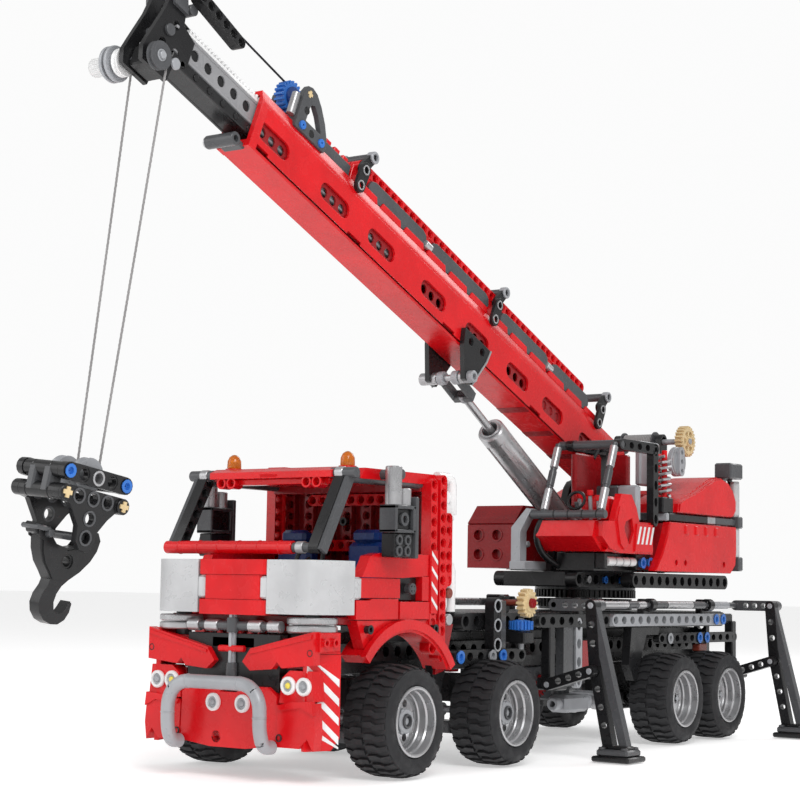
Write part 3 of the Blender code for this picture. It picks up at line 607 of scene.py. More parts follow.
def knuckles():
    for number, (mark, side) in product((1, 2), MARKED_SIDES):
        name = f"knuckle_{number}{mark}"
        y = (TRUCK.inverted() @ middle(f"tyre_{number}{mark}")).y
        x, z = side * KING_X, WHEEL_Z
        g = Group(f"{name}_set", name, replaces=(name,))
        g.rod("dark_grey", (x, y, 23.2), (x, y, 45.6), 4.2, 16)
        g.add("light_grey", cross(29.5), at(x, y, z, "Z"))
        g.rod("light_grey", (x, y, z), (side * 80, y, z), 2.5)
        g.rod("dark_grey", (x, y, z), (side * 55, y, z), 6.5, 20)
        g.rod("light_grey", (side * 51, y, z), (side * 54.6, y, z), 11.0, 24)
        g.box("dark_grey", (side * 44.8, side * 50), (y + 2, y + 21), (30, 35.4))
        g.add("light_grey", pin(6.0), at(side * 47.4, y + 18, 34.0, "Z"))


# ---------------------------------------------------------------- cab

CAB_HALF = 67.0              # half the width over the side panels


def lamp(g, x, y, z, core):
    g.add("white", turned([(0.1, -1.5), (0.1, 0.6), (3.4, 0.6), (3.6, 1.8), (4.6, 2.0), (5.4, 1.2),
                           (5.5, -1.5)], 24), at(x, y, z, "Y"))
    g.add(core, turned([(0.1, 0.5), (0.1, 1.9), (1.6, 1.5), (2.0, 0.5)], 16), at(x, y, z, "Y"))
    g.add("light_grey", turned([(2.0, 0.5), (2.0, 0.9), (3.3, 0.9), (3.4, 0.5)], 20), at(x, y, z, "Y"))


def bumper():
    g = Group("bumper_set", "chassis", replaces=("bumper",))
    centre = [(-38, 21), (-14, 18), (14, 18), (38, 21), (37, 50), (30, 55), (12, 55), (6, 51), (-6, 51),
              (-12, 55), (-30, 55), (-37, 50)]
    g.plate("red", "Y", centre, -73.0, -67.0, [circle((-9, 24), 2.5, 12)])
    g.add("dark_grey", bush(5.0), at(-9, -70.5, 24, "Y"))
    for s in SIDES:
        pod = [(s * 38.5, 46), (s * 40.5, 61), (s * 46, 65.5), (s * 62.5, 65.5), (s * 64.5, 48),
               (s * 60, 46.5)]
        g.plate("red", "Y", pod, -72.5, -62.0)
        cheek = [(s * 38.2, 20.5), (s * 37.6, 44.5), (s * 52, 45.6), (s * 65.0, 47.0), (s * 66.5, 30),
                 (s * 65.0, 19.5), (s * 60.5, 26.5), (s * 55, 20.5)]
        g.plate("red", "Y", cheek, -73.6, -66.0)
        brow = [(s * 38, 44.9), (s * 50, 47.4), (s * 64.8, 48.4), (s * 65.8, 40), (s * 57, 44.2),
                (s * 40, 42)]
        g.plate("red", "Y", brow, -75.0, -72.0)
        lower = [(s * 11, 69.5), (s * 17, 64.4), (s * 34, 65.8), (s * 37.5, 70.2), (s * 41, 66.6),
                 (s * 64.5, 69.0), (s * 64.5, 88.5), (s * 17, 77.5)]
        g.plate("red", "Y", lower, -74.2, -67.5)
        g.plate("red", "Y", [(s * 17, 76.0), (s * 63.6, 86.8), (s * 63.6, 84.4), (s * 17, 74.0)], -75.0,
                -73.0)
        # Darkened red boxes behind the plates: painted shade.
        g.box("dark_red", (s * 20, s * 60), (-67, -60), (66, 84))
        g.box("dark_red", (s * 40, s * 60), (-66, -52), (24, 64))
        lamp(g, s * 57.2, -72.6, 56.4, "light_grey")
        lamp(g, s * 45.6, -72.6, 56.6, "yellow")
        lamp(g, s * 11.4, -73.2, 44.6, "light_grey")
        g.box("red", (s * 58, s * 66.4), (-70, -50), (76.5, 88))
        for y in (-66, -57):
            g.pin("red", s * 66.0, y, 82.0, "X", 5.0)
        for x, z in ((40, 26), (62, 76)):
            g.add("black", cylinder(2.3, 0, 1.2, 12, 1.6), at(s * x, -73.2, z, "Y"))
    g.box("dark_grey", (-30, 30), (-66.5, -45), (44, 68))
    g.box("black", (-36, 36), (-69.8, -62), (52, 86))
    # Darkened red beam above the black block: painted shade.
    g.add("dark_red", beam(5), at(-16, -65.5, 88, "Y"))


def corner_panels():
    """Striped plates at the bumper's corners, in a frame of their own."""
    g = Group("corner_panel_set", "chassis")
    for s in SIDES:
        front, back = Vector((s * 58.6, -73.4, 0)), Vector((s * 66.8, -50.0, 0))
        run = (back - front).normalized()
        out = Vector((run.y, -run.x, 0)) * s
        rows = Matrix((run, Vector((0, 0, 1)), out)).transposed().to_4x4()
        place = Matrix.Translation(front) @ rows
        width = (back - front).length
        g.add("red", slab([(0, 19), (width - 6, 19), (width, 26), (width, 75), (0, 75)], -3.0, 0.0), place)
        g.add("red", slab([(0, 75.2), (width, 75.2), (width - 1, 79), (1, 79)], -4.0, -0.4), place)
        for k in range(5):
            top = 31.0 + 11.2 * k
            outline = [(0.8, top), (0.8, min(top + 4.6, 74.4)), (width - 1, max(top - 15.4, 21)),
                       (width - 1, max(top - 20, 19.8))]
            g.add("white", slab(outline, -0.5, 0.28), place)


def nose():
    g = Group("nose_set", "chassis", replaces=("cab_grille", "cab_corner_L", "cab_corner_R"))
    for half, z0, z1, y in ((26.2, 97.2, 106.2, -73.2), (22.4, 106.4, 121.2, -72.4),
                            (26.2, 121.4, 130.6, -73.2)):
        g.plate("red", "Z", [(-half, -60), (-half, y + 1.4), (-half + 1.4, y), (half - 1.4, y),
                             (half, y + 1.4), (half, -60)], z0, z1)
    for s in SIDES:
        outer = [(27.0, -72.6), (38, -74.2), (50, -74.4), (56.5, -72.8), (60.5, -69.6), (66.6, -56),
                 (67.6, -50), (67.6, -38.8)]
        inner = [(64.4, -38.8), (64.4, -50), (63.4, -55.6), (58.6, -66.6), (55.2, -69.2), (49.6, -70.8),
                 (38, -70.6), (27.0, -69.4)]
        shell = [(s * x, y) for x, y in outer + inner]
        g.plate("pearl", "Z", shell, 98.2, 130.5)
        lip = [(s * x, y) for x, y in [(27, -69.6), (58, -69.6), (64.5, -54), (64.5, -38.8), (54, -38.8),
                                       (54, -60), (27, -60)]]
        g.plate("pearl", "Z", lip, 128.3, 130.1)
        g.box("pearl", (s * 21.6, s * 27.4), (-73.0, -68), (107, 120.6), 1.2)
        g.box("pearl", (s * 63.8, s * 67.8), (-39.2, -31.5), (107.5, 121.0), 1.2)
        for z in (87.4, 92.2):
            g.add("silver", cylinder(15.2, 0, 4.3, 40, edge=0.8), at(s * 50.6, -57.6, z))
        g.add("dark_grey", cylinder(5.0, 0, 20, 20), at(s * 50.6, -57.6, 82))
        for x0, x1, r, colour in ((3, 12, 3.0, "dark_grey"), (12, 22, 3.7, "silver"),
                                  (22, 27, 2.7, "dark_grey"), (27, 36, 3.7, "silver")):
            g.rod(colour, (s * x0, -68.5, 90.5), (s * x1, -68.5, 90.5), r, 16)
    g.add("light_grey", cross(42.0), at(0, -70.5, 77.0))
    g.rod("dark_grey", (0, -70.5, 86.5), (0, -70.5, 95.5), 3.7, 18)
    g.rod("dark_grey", (0, -70.5, 60.0), (0, -70.5, 68.5), 3.5, 18)
    g.box("red", (-17, 17), (-69.8, -62.5), (77.0, 84.2), 0.8)
    g.box("red", (-10, 10), (-73.0, -68), (75.0, 78.8), 0.8)


def bull_bar():
    g = Group("bull_bar_set", "chassis", replaces=("bull_bar",))
    right = [(0, -87, 57.2), (27, -87, 57.2), (35.8, -87, 48.0), (35.8, -87, 29.0), (36.0, -83.0, 20.6),
             (36.0, -75.4, 20.4)]
    path = [(-x, y, z) for x, y, z in reversed(right)] + right[1:]
    fine = [path[0]]
    for k in range(1, len(path) - 1):
        a, b, c = (Vector(path[k + d]) for d in (-1, 0, 1))
        near, far = b + (a - b).normalized() * 7.0, b + (c - b).normalized() * 7.0
        if (a - b).length < 10:
            near, far = b.lerp(a, 0.45), b.lerp(c, 0.45)
        fine += [near.lerp(b, t).lerp(b.lerp(far, t), t) for t in (i / 6 for i in range(7))]
    fine.append(path[-1])
    g.tube("light_grey", fine, 4.2, 20)
    joint = band(4.25, 4.5, 0.5, 0.2, 24)
    for x in (-20, 20):
        g.add("light_grey", joint, at(x, -87, 57.2, "X"))
    for s in SIDES:
        g.add("light_grey", joint, at(s * 35.8, -87, 38, "Z"))


def cab_shell():
    g = Group("cab_body_set", "chassis", replaces=("cab_body",))
    # Darkened red floor, floor beams and back wall inside the cab: painted shade.
    g.box("dark_red", (-61, 61), (-57, 60), (92.4, 97))
    for x in range(-56, 57, 16):
        g.add("dark_red", beam(11), at(x, 57, 98, "Y", 90))
    g.box("dark_red", (-60, 60), (58.5, 60), (97, 179))
    for z in (110, 142, 172):
        g.add("red", beam(9), at(-32, 50.0, z, "Y"))
    for x in (-8, 24):
        g.pin("black", x, 53.0, 158, "Y")
    for s in SIDES:
        x = s * 63.6
        side = s * CAB_HALF
        g.plate("red", "X", [(-36, 95.4), (-36, 107), (-22, 107), (-20, 108), (8, 108), (8, 95.4)],
                s * 59.5, side - s * 0.2)
        g.plate("red", "X", [(9, 95.4), (9, 106.4), (41, 106.4), (41, 95.4)], s * 59.5, side + s * 0.4)
        g.plate("red", "X", [(-33, 108.4), (-33, 120.6), (11.5, 120.6), (11.5, 108.4)], s * 59.5,
                side - s * 1.6)
        g.plate("red", "X", [(-30, 121), (-22, 134), (-12, 136), (41, 136), (41, 122.6), (12, 121)],
                s * 59.0, side - s * 0.4)
        g.plate("red", "X", [(33.5, 107), (33.5, 122.2), (41, 122.2), (41, 107)], s * 59.5, side)
        g.box("black", (s * 59.5, s * 62.5), (12, 33.2), (107, 122.4))
        g.add("dark_grey", bush(), at(s * 63.4, 23, 114.4, "X"))
        g.add("dark_grey", cross(8.0), at(s * 63.4, 23, 114.4, "X"))
        for y, z0, count in ((45.4, 77, 14), (56.2, 72, 15)):
            g.add("red", beam(count), at(x, y, z0, "X", 90))
        g.plate("red", "X", [(42.2, 99), (49.4, 99), (49.4, 139), (42.2, 139)], s * 66.4, side + s * 1.0)
        for k in range(4):
            z = 101 + 9.6 * k
            g.plate("white", "X", [(42.5, z + 6.2), (42.5, z + 8.8), (49.1, z + 2.6), (49.1, z)],
                    side + s * 0.9, side + s * 1.25)
        for z in (120, 146):
            g.plate("red", "X", arc((60.6, z), 5.6, -70, 70, 6), s * 61.5, s * 65.5)
        fender(g, s)


def fender(g, s):
    """Wheel arch: curved shell with a rolled outer edge, filled above up to the sill."""
    centre = (16.0, 35.0)
    outer = arc(centre, 59.5, 33, 139, 26)
    inner = arc(centre, 52.5, 139, 33, 26)
    g.plate("red", "X", outer + inner, s * 50.5, s * 68.8)
    g.plate("red", "X", arc(centre, 60.4, 31.5, 140.5, 26) + arc(centre, 54.2, 140.5, 31.5, 26), s * 66.5,
            s * 70.4)
    g.plate("red", "X", arc(centre, 56.0, 36, 136, 26) + [(-34, 94.9), (56, 94.9)], s * 58, s * 66.0)
    for y in (-24.5, 46):
        g.pin("black", s * 66.8, y, 89.5, "X", 6.0)
    # Darkened red plate inside the arch: painted shade.
    g.plate("dark_red", "X", [(64, 92), (80, 92), (70, 62), (60, 60)], s * 52, s * 60)


def cab_top():
    g = Group("cab_roof_set", "chassis", replaces=("cab_roof",))
    g.plate("red", "X", [(-27, 181), (58.5, 181), (58.5, 186), (54, 187.8), (-22, 187.8)], -61.5, 61.5)
    front = [(-41, 181.4), (-26, 181.0), (-26, 187.9), (-35, 187.9), (-41, 185.4)]
    g.plate("red", "X", front, -47.0, 50.0)
    g.plate("red", "X", [(-42, 183.4), (-33, 188.6), (-24, 188.6), (-24, 187), (-41, 182)], -5.5, 7.0)
    for x in (-38, -30, 30, 38):
        g.add("red", ring(2.5, 3.7, -4, 4, 16), at(x, -36.5, 178.8, "Y"))
        # The darkened red disc in each ring's bore is painted shade.
        g.add("dark_red", cylinder(2.5, -3.0, -1, 12), at(x, -36.5, 178.8, "Y"))
    g.box("red", (-45, 45), (-36, -28), (177.6, 181.2))
    # Darkened red block under the roof's back edge: painted shade.
    g.box("dark_red", (-60, 60), (40, 60), (176.2, 181.4))
    for s in SIDES:
        g.rod("dark_grey", (s * 47, -36.5, 184), (s * 66, -36.5, 184), 3.4, 16)
        g.rod("silver", (s * 51, -36.5, 184), (s * 57, -36.5, 184), 3.8, 18)
        x = s * 45.6
        g.add("red", turned([(0.1, 187), (6.0, 187), (5.6, 189.4), (0.1, 189.4)], 20), at(x, -19.0, 0))
        dome = [(0.1, 189.4), (4.3, 189.4), (4.6, 190.2), (4.4, 194.4), (3.2, 197.0), (1.4, 198.3),
                (0.1, 198.6)]
        g.add("amber", turned(dome, 24), at(x, -19.0, 0))
        g.add("white", cylinder(1.6, 189.5, 193.5, 12), at(x, -19.0, 0))


def cab_pillars():
    g = Group("cab_frame_set", "chassis", replaces=("cab_frame",))
    lean = math.degrees(math.atan2(42.0, 24.0))
    g.rod("red", (-63.5, -61, 138), (38, -61, 138), 4.0, 18)
    g.rod("dark_grey", (38, -61, 138), (56, -61, 138), 3.1, 16)
    g.rod("silver", (41, -61, 138), (46.5, -61, 138), 3.8, 18)
    for x in range(-52, 38, 16):
        g.add("red", band(3.9, 4.35, 0.6, 0.3), at(x, -61, 138, "X"))
    for s in SIDES:
        g.add("black", beam(7), at(s * 54.6, -60.5, 138.0, "X", lean))
        strip = [(-2.6, -3.2), (51.0, -3.2), (51.0, 3.2), (-2.6, 3.2)]
        g.add("dark_grey", slab(strip, s * 58.6, s * 61.4), at(0, -60.5, 138.0, "X", lean))
        for k in (1, 3, 5):
            spot = Vector((s * 57.8, -60.5 + 8 * k * math.cos(math.radians(lean)),
                           138 + 8 * k * math.sin(math.radians(lean))))
            g.pin("light_grey", *spot, "X", 3.0)
        g.rod("dark_grey", (s * 58, -35, 181), (s * 58, 42, 181), 3.0)
        mirror(g, s)


def mirror(g, s):
    """Mirror block beside the door with its upright tubes, holed blocks and back strip."""
    x0, x1 = s * 67.4, s * 80.0
    g.rod("dark_grey", (s * 58, -4, 184.5), (s * 77, -4, 184.5), 3.2, 16)
    g.add("silver", cylinder(5.2, 165, 189.2, 24, 2.4, 0.6), at(s * 74.0, -9.5, 0))
    g.add("silver", cylinder(4.6, 163, 176, 24, 2.4, 0.6), at(s * 74.0, 1.5, 0))
    g.box("dark_grey", (x0, x1), (7.0, 10.2), (133, 171), 0.6)
    for y0, y1 in ((-15.0, -12.6), (4.2, 6.8)):
        g.box("dark_grey", (x0, x1), (y0, y1), (148.5, 165.5), 0.5)
    g.box("dark_grey", (x0, x1), (-15, 6.8), (163.0, 165.4), 0.5)
    g.box("dark_grey", (x0, x1), (-15, 6.8), (148.4, 150.6), 0.5)
    g.box("black", (s * 68.4, s * 77.6), (-12.4, 4.4), (150.6, 163), 0.4)
    g.add("dark_grey", ring(2.4, 4.2, 0, 1.6, 18), at(proud(s, 77.4, 1.6), -3.6, 156.8, "X"))
    g.box("black", (s * 68.4, s * 78.4), (-13.8, 5.6), (133.4, 148.2), 0.6)
    for y, z in ((-9.4, 144), (-0.6, 144), (-9.4, 137.4), (-0.6, 137.4)):
        g.add("dark_grey", ring(1.9, 3.3, 0, 1.2, 16), at(proud(s, 78.2, 1.2), y, z, "X"))


def cab_seats():
    g = Group("cab_seat_set", "chassis", replaces=("seats",))
    g.box("dark_grey", (-46, 46), (2, 26), (97.6, 104))
    for s in SIDES:
        x0, x1 = s * 15, s * 43
        g.box("deep_blue", (x0, x1), (-4, 28), (104.2, 112.6), 2.0)
        g.box("deep_blue", (x0, x1), (22.5, 34), (112, 143.6), 2.6)
        g.box("deep_blue", (s * 19, s * 39), (22.0, 32.6), (143.0, 151.6), 2.2)
        g.box("deep_blue", (x0, s * 19), (-2, 26), (112.0, 117.6), 1.6)
        g.box("deep_blue", (s * 39, x1), (-2, 26), (112.0, 117.6), 1.6)
    g.box("dark_grey", (8, 38), (-44, -34), (97.4, 126), 1.5)
    g.add("black", swept([(23 + 10 * math.cos(a), -26 + 3 * math.sin(a), 132 + 9 * math.sin(a))
                          for a in (2 * math.pi * k / 20 for k in range(21))], 1.4, 8))
    g.rod("black", (23, -26, 132), (23, -38, 126), 1.5)


def cab_back():
    """White rounded tube frames, exhaust rings and the holed links behind the cab."""
    g = Group("cab_back_set", "chassis")
    for s in SIDES:
        x = s * 58.0
        for z0, z1, y1 in ((163, 187, 79), (100, 131, 79)):
            hoop = [(x, 61.4, z1), (x, y1 - 5, z1), (x, y1 - 1.5, z1 - 1.5), (x, y1, z1 - 5), (x, y1, z0)]
            g.tube("white", hoop, 3.4, 14)
        g.box("white", (x - 3, x + 3), (61.4, 79), (158.6, 162.6), 1.2)
        for z in (166, 174):
            g.rod("white", (s * 50, 69, z), (s * 62, 69, z), 4.0, 18)
        g.add("white", beam(2), at(x, 66, 104, "X", 90))
        g.rod("brown", (s * 45, 70, 112), (s * 64, 70, 112), 3.4, 16)
        g.rod("silver", (s * 45, 67, 95), (s * 66, 67, 95), 3.7, 18)
        g.add("red", beam(6), at(s * 61.6, 66.0, 120, "X", 90))
        g.add("dark_grey", beam(8), at(s * 44, 66, 104, "X", 90))
    g.add("black", beam(9), at(-32, 70, 108, "Z"))
    g.add("black", beam(11), at(-40, 78, 104, "Z"))


# ---------------------------------------------------------------- boom

# Middles of the long openings and the small notches in the sides, as distances along the boom.
WINDOWS = (476.7, 407.8, 351.4, 283.4, 222.8, 162.2, 106.5, 46.0)
NOTCHES = (486.0, 380.0, 258.0, 130.0)


def ahead(outline):
    """Outline given as (distance along the boom, height), for a plate on X in the boom's frame."""
    return [(-u, v) for u, v in outline]


def boom_box():
    g = Group("boom_set", "boom", BOOM, ("boom_outer",))
    for s in SIDES:
        windows = [ahead(capsule((u - 10.5, 15.5), (u + 10.5, 15.5), 6.0)) for u in WINDOWS]
        windows += [ahead([(u - 8, 2.4), (u + 8, 2.4), (u + 8, 4.8), (u - 8, 4.8)]) for u in NOTCHES]
        side = ahead([(-12, 8), (-6, 0.9), (495, 0.9), (495, 31), (-12, 31)])
        g.plate("red", "X", side, s * 11.2, s * 13.0, windows)
        holes = [circle((-(u + d), 15.5), 3.4, 14) for u in WINDOWS for d in (-10, 0, 10)]
        # The darkened red inner plate seen through the openings is painted shade.
        g.plate("dark_red", "X", ahead([(-10, 4), (492, 4), (492, 36), (-10, 36)]), s * 9.7, s * 10.9,
                holes)
        for k in range(12):
            u = 34 + 30 * k
            g.plate("red", "X", ahead([(u, 40.2), (u + 2, 44.6), (u + 24, 44.6), (u + 26, 40.2)]), s * 8.7,
                    s * 10.6)
    shell = [(13.0, 31), (13.0, 33.0), (11.6, 36.4), (10.2, 40.4), (-10.2, 40.4), (-11.6, 36.4),
             (-13.0, 33), (-13.0, 31), (-11.2, 31), (-11.2, 33), (-9.6, 37.3), (9.6, 37.3), (11.2, 33),
             (11.2, 31)]
    g.plate("red", "Y", shell, -495.0, 12.0)
    g.plate("red", "Y", [(-13, 1.2), (-12, 0), (12, 0), (13, 1.2), (13, 2.4), (-13, 2.4)], -495.0, 8.0)
    rim = [(-13.1, 0.4), (-12.4, -0.2), (12.4, -0.2), (13.1, 0.4), (13.1, 32.4), (10.2, 40.6),
           (-10.2, 40.6), (-13.1, 32.4)]
    g.plate("red", "Y", rim, -496.6, -490.0, [[(-9.6, 4.6), (9.6, 4.6), (9.6, 37.2), (-9.6, 37.2)]])
    # Darkened red block inside the boom's rear end: painted shade.
    g.box("dark_red", (-10, 10), (-146, 10), (3, 37))
    # Darkened red strips under the boom: painted shade.
    for u in (60, 100, 140):
        g.box("dark_red", (-12.4, 12.4), (-u - 4, -u + 4), (-0.4, 1.0))
    foot(g)
    top_deck(g)


def foot(g):
    """Pivot lugs under the boom's rear end."""
    # The lugs and the block between them are darkened red: painted shade under the boom.
    for s in SIDES:
        lug = capsule((0, -FOOT_DROP), (-14, 10), 8.0)
        g.plate("dark_red", "X", lug, s * 7.0, s * 11.0, (), [(0, -FOOT_DROP)])
    g.rod("light_grey", (-14, 0, -FOOT_DROP), (14, 0, -FOOT_DROP), 2.3)
    g.box("dark_red", (-10.6, 10.6), (-2, 12), (4, 37), 1.5)


def top_deck(g):
    """Long holed beams, grey strips and silver tubes lying on the boom."""
    for s in SIDES:
        g.add("red", beam(41), at(s * 4.1, -386, 57.4, "X"))
        for u0, u1 in ((54, 116), (122, 196), (214, 296), (302, 376)):
            g.plate("dark_grey", "X", ahead(capsule((u0 + 6.2, 47.8), (u1 - 6.2, 47.8), 6.2, 4)), s * 7.6,
                    s * 9.6)
        for u in (119, 299):
            g.rod("silver", (s * 8.6, -(u - 4), 47), (s * 8.6, -(u + 4), 47), 3.0)
    g.box("red", (-7.4, 7.4), (-394, -52), (40.3, 54.2), 0.5)
    g.box("dark_grey", (-8, 8), (-428, -396), (40, 50.5), 1.0)
    for k in range(3):
        g.box("red", (-6.5, 6.5), (-(402 + 10 * k) - 3, -(402 + 10 * k) + 3), (50, 54.0), 0.6)
    for u in (386, 205, 37):
        bracket(g, u)
    g.rod("dark_grey", (-13, -505.0, -0.6), (9.5, -505.0, -0.6), 4.3, 20, 2.2)
    g.rod("silver", (-14.5, -505.0, -0.6), (-13.0, -505.0, -0.6), 3.6, 18, 2.2)
    g.box("dark_grey", (-8, 8), (-503, -494), (-1.5, 2.2), 0.8)
    guide_bracket(g)
    ram_fork(g)


def bracket(g, u):
    """Two-hole uprights with a light ring on top, one each side."""
    for s in SIDES:
        upright = ahead(capsule((u + 4.6, 37.6), (u + 3.6, 51.0), 4.7))
        g.plate("black", "X", upright, s * 13.1, s * 15.6, (), [(-(u + 4.6), 38.0), (-(u + 3.6), 50.2)])
        for du, dv in ((4.6, 38.0), (3.6, 50.2)):
            g.add("silver", ring(2.5, 3.5, 0, 0.5, 14), at(proud(s, 15.6, 0.5), -(u + du), dv, "X"))
        arm = ahead(capsule((u + 3, 52.5), (u - 3, 64.0), 3.6))
        g.plate("black", "X", arm, s * 9.9, s * 13.0)
        g.rod("light_grey", (s * 9.4, -u + 3.6, 65.0), (s * 14.4, -u + 3.6, 65.0), 4.3, 20, 2.5)
    g.rod("dark_grey", (-9.4, -u + 3.6, 65.0), (9.4, -u + 3.6, 65.0), 3.2, 16)


def guide_bracket(g):
    """D-shaped side brackets that carry the blue guide gear."""
    outline = ahead([(464, 36.6), (464, 63), (462, 67.6), (457.5, 69), (452, 67.8), (445, 62.5),
                     (437.5, 54.5), (432, 46), (430.2, 40), (431.5, 36.6)])
    window = ahead([(455.5, 45.5), (455.0, 57.5), (451, 59.5), (445.5, 55), (439.5, 47.5), (439, 45.5)])
    for s in SIDES:
        g.plate("dark_grey", "X", outline, s * 9.6, s * 13.4, [window])
        face = s * 13.4
        for u, v in ((457.6, 40.6), (436.5, 40.6)):
            g.add("blue", turned([(0.8, -0.6), (0.8, 1.2), (2.9, 1.2), (3.0, -0.6)], 12),
                  at(face, -u, v, "X") @ facing(s))
        for u, v in ((457.0, 52.0), (447.0, 40.8)):
            g.add("black", cylinder(2.6, -0.2, 0.25, 14), at(face, -u, v, "X"))
    g.add("tan", cross(27.6), at(0, -458.5, 63.6, "X"))
    g.rod("silver", (8.8, -466.0, 44), (8.8, -466.0, 60), 3.0, 16)
    g.rod("dark_grey", (-9.4, -448, 44), (9.4, -448, 44), 3.4, 16)
    wheel = Group("guide_gear", "guide_wheel", BOOM, ("guide_wheel",))
    spot = at(-4.4, -458.5, 63.6, "X")
    wheel.add("blue", gear(20, 11.0, 6.8), spot)
    wheel.add("deep_blue", ring(2.6, 6.8, -4.6, 4.6, 20), spot)


def ram_fork(g):
    """Side plates under the boom that hold the cylinder rod's top pin."""
    y, z = (BOOM.inverted() @ TOP)[1:]
    for s in SIDES:
        plate_shape = [(y - 18, 12), (y - 16, 2), (y - 5, z - 4), (y + 5, z - 4), (y + 16, 2), (y + 18, 12)]
        g.plate("black", "X", plate_shape, s * 13.2, s * 17.0, (), [(y, z + 2), (y - 8, 6), (y + 8, 6)])
        edge = [(y + 16.5, 2), (y + 18.6, 12), (y + 17, 12), (y + 15, 2.5), (y + 4.6, z - 3),
                (y + 5.4, z - 4.4)]
        g.plate("silver", "X", edge, s * 16.8, s * 17.6)
        g.rod("light_grey", (s * 13.4, y, z), (s * 21.4, y, z), 4.4, 20, 2.3)
        g.rod("dark_grey", (s * 9.0, y, z), (s * 13.4, y, z), 3.6, 18)
    g.rod("silver", (-24, y, z), (-9.6, y, z), 4.5, 22)
    g.rod("silver", (9.6, y, z), (13, y, z), 4.5, 22)
    g.rod("silver", (-9.5, y, z), (9.5, y, z), 2.4)


def boom_head():
    g = Group("inner_set", "inner_boom", BOOM, ("boom_inner",))
    g.box("black", (-7.4, 7.4), (-578, -300), (9.2, 32.4), 1.0)
    for s in SIDES:
        web = ahead([(302, 16.4), (575, 16.4), (575, 30.6), (302, 30.6)])
        holes = [circle((-(309 + HOLE_PITCH * k), 24.0), 3.6, 14) for k in range(21)]
        g.plate("grey", "X", web, s * 7.4, s * 8.4, holes)
        for v in (17.0, 31.0):
            g.box("grey", (s * 7.0, s * 9.0), (-577, -301), (v - 0.9, v + 0.9), 0.3)
        g.box("black", (s * 6.0, s * 8.7), (-573, -301), (9.0, 15.4), 0.5)
        for k in range(20):
            g.add("black", cylinder(2.3, 0, 0.5, 12), at(proud(s, 8.7, 0.5), -(309 + 13.4 * k), 12.2, "X"))
        g.box("dark_grey", (s * 6.4, s * 8.9), (-577, -301), (15.2, 16.0), 0.2)
    g.box("white", (0.6, 8.6), (-566, -310), (32.2, 34.2), 0.3)
    for k in range(80):
        u = 312 + 3.2 * k
        g.box("white", (0.8, 8.4), (-u - 0.8, -u + 0.8), (34.0, 36.9), 0.25)
    tip_head(g)


def tip_head(g):
    """Holed cheeks at the boom's end, their cross tubes and the folded arms above."""
    for s in SIDES:
        cheek = ahead([(571.6, -5), (594, -5), (597, 3), (595, 12), (590, 33), (588, 51), (576, 51),
                       (572, 34), (560, 30), (560, 13), (570.4, 7)])
        g.plate("black", "X", cheek, s * 6.0, s * 9.2, (), [(-578, 44), (-578, 30), (-584, 14), (-572, 14)])
        g.rod("dark_grey", (s * 4.0, -582, 24), (s * 11.0, -582, 24), 3.7, 18)
        g.rod("light_grey", (s * 9.2, -570, 8), (s * 11.2, -570, 8), 3.6, 18)
        arm = ahead([(574, 40), (586, 40), (599, 69), (590, 73)])
        g.plate("dark_grey", "X", arm, s * 9.4, s * 12.0)
        g.add("black", beam(6), at(s * 15.8, -574, 52, "X", -6))
    g.rod("silver", (-14, -592, 66), (14, -592, 66), 2.6)
    for x0, x1, colour in ((-12, -4, "dark_grey"), (-4, 4, "light_grey"), (4, 12, "dark_grey")):
        g.rod(colour, (x0, -571, 46), (x1, -571, 46), 3.6, 18)
    g.box("black", (-5.9, 5.9), (-590, -572), (-4, 9.4), 1.0)


def sheaves():
    """Axle at the boom's tip with its discs and ribbed white end; it hangs the two falls."""
    g = Group("tip_set", "tip_sheaves", FALLS, ("tip_sheaves",))
    g.rod("light_grey", (-36, 0, 0), (18, 0, 0), 2.4)
    groove = [(2.5, -2.2), (8.4, -2.2), (8.6, -1.6), (6.9, -0.6), (6.9, 0.6), (8.6, 1.6), (8.4, 2.2),
              (2.5, 2.2)]
    for x, colour in ((-14, "white"), (14, "dark_grey")):
        g.add(colour, turned(groove, 28), at(x, 0, 0, "X"))
        g.add("light_grey", ring(2.5, 3.6, -2.4, 2.4, 20), at(x, 0, 0, "X"))
    for x in (-19.2, -23.0):
        g.add("light_grey", turned([(2.5, -1.0), (10.4, -1.0), (10.9, -0.4), (10.9, 0.4), (10.4, 1.0),
                                    (2.5, 1.0)], 32), at(x, 0, 0, "X"))
    g.add("white", turned([(2.5, -2.6), (5.0, -2.6), (6.6, 2.6), (2.5, 2.6)], 24), at(-27.4, 0, 0, "X"))
    g.add("white", turned([(0.2, -5.0), (5.0, -5.0), (5.4, -4.4), (5.4, 4.4), (5.0, 5.0), (0.2, 5.0)], 24),
          at(-32.6, 0, 0, "X"))
    for k in range(14):
        a = 2 * math.pi * k / 14
        g.rod("white", (-37.2, 5.3 * math.cos(a), 5.3 * math.sin(a)),
              (-28.6, 5.3 * math.cos(a), 5.3 * math.sin(a)), 0.6, 6)
    g.rod("white", (9.4, 0, 0), (12.0, 0, 0), 3.6, 18)


# ---------------------------------------------------------------- luffing cylinder

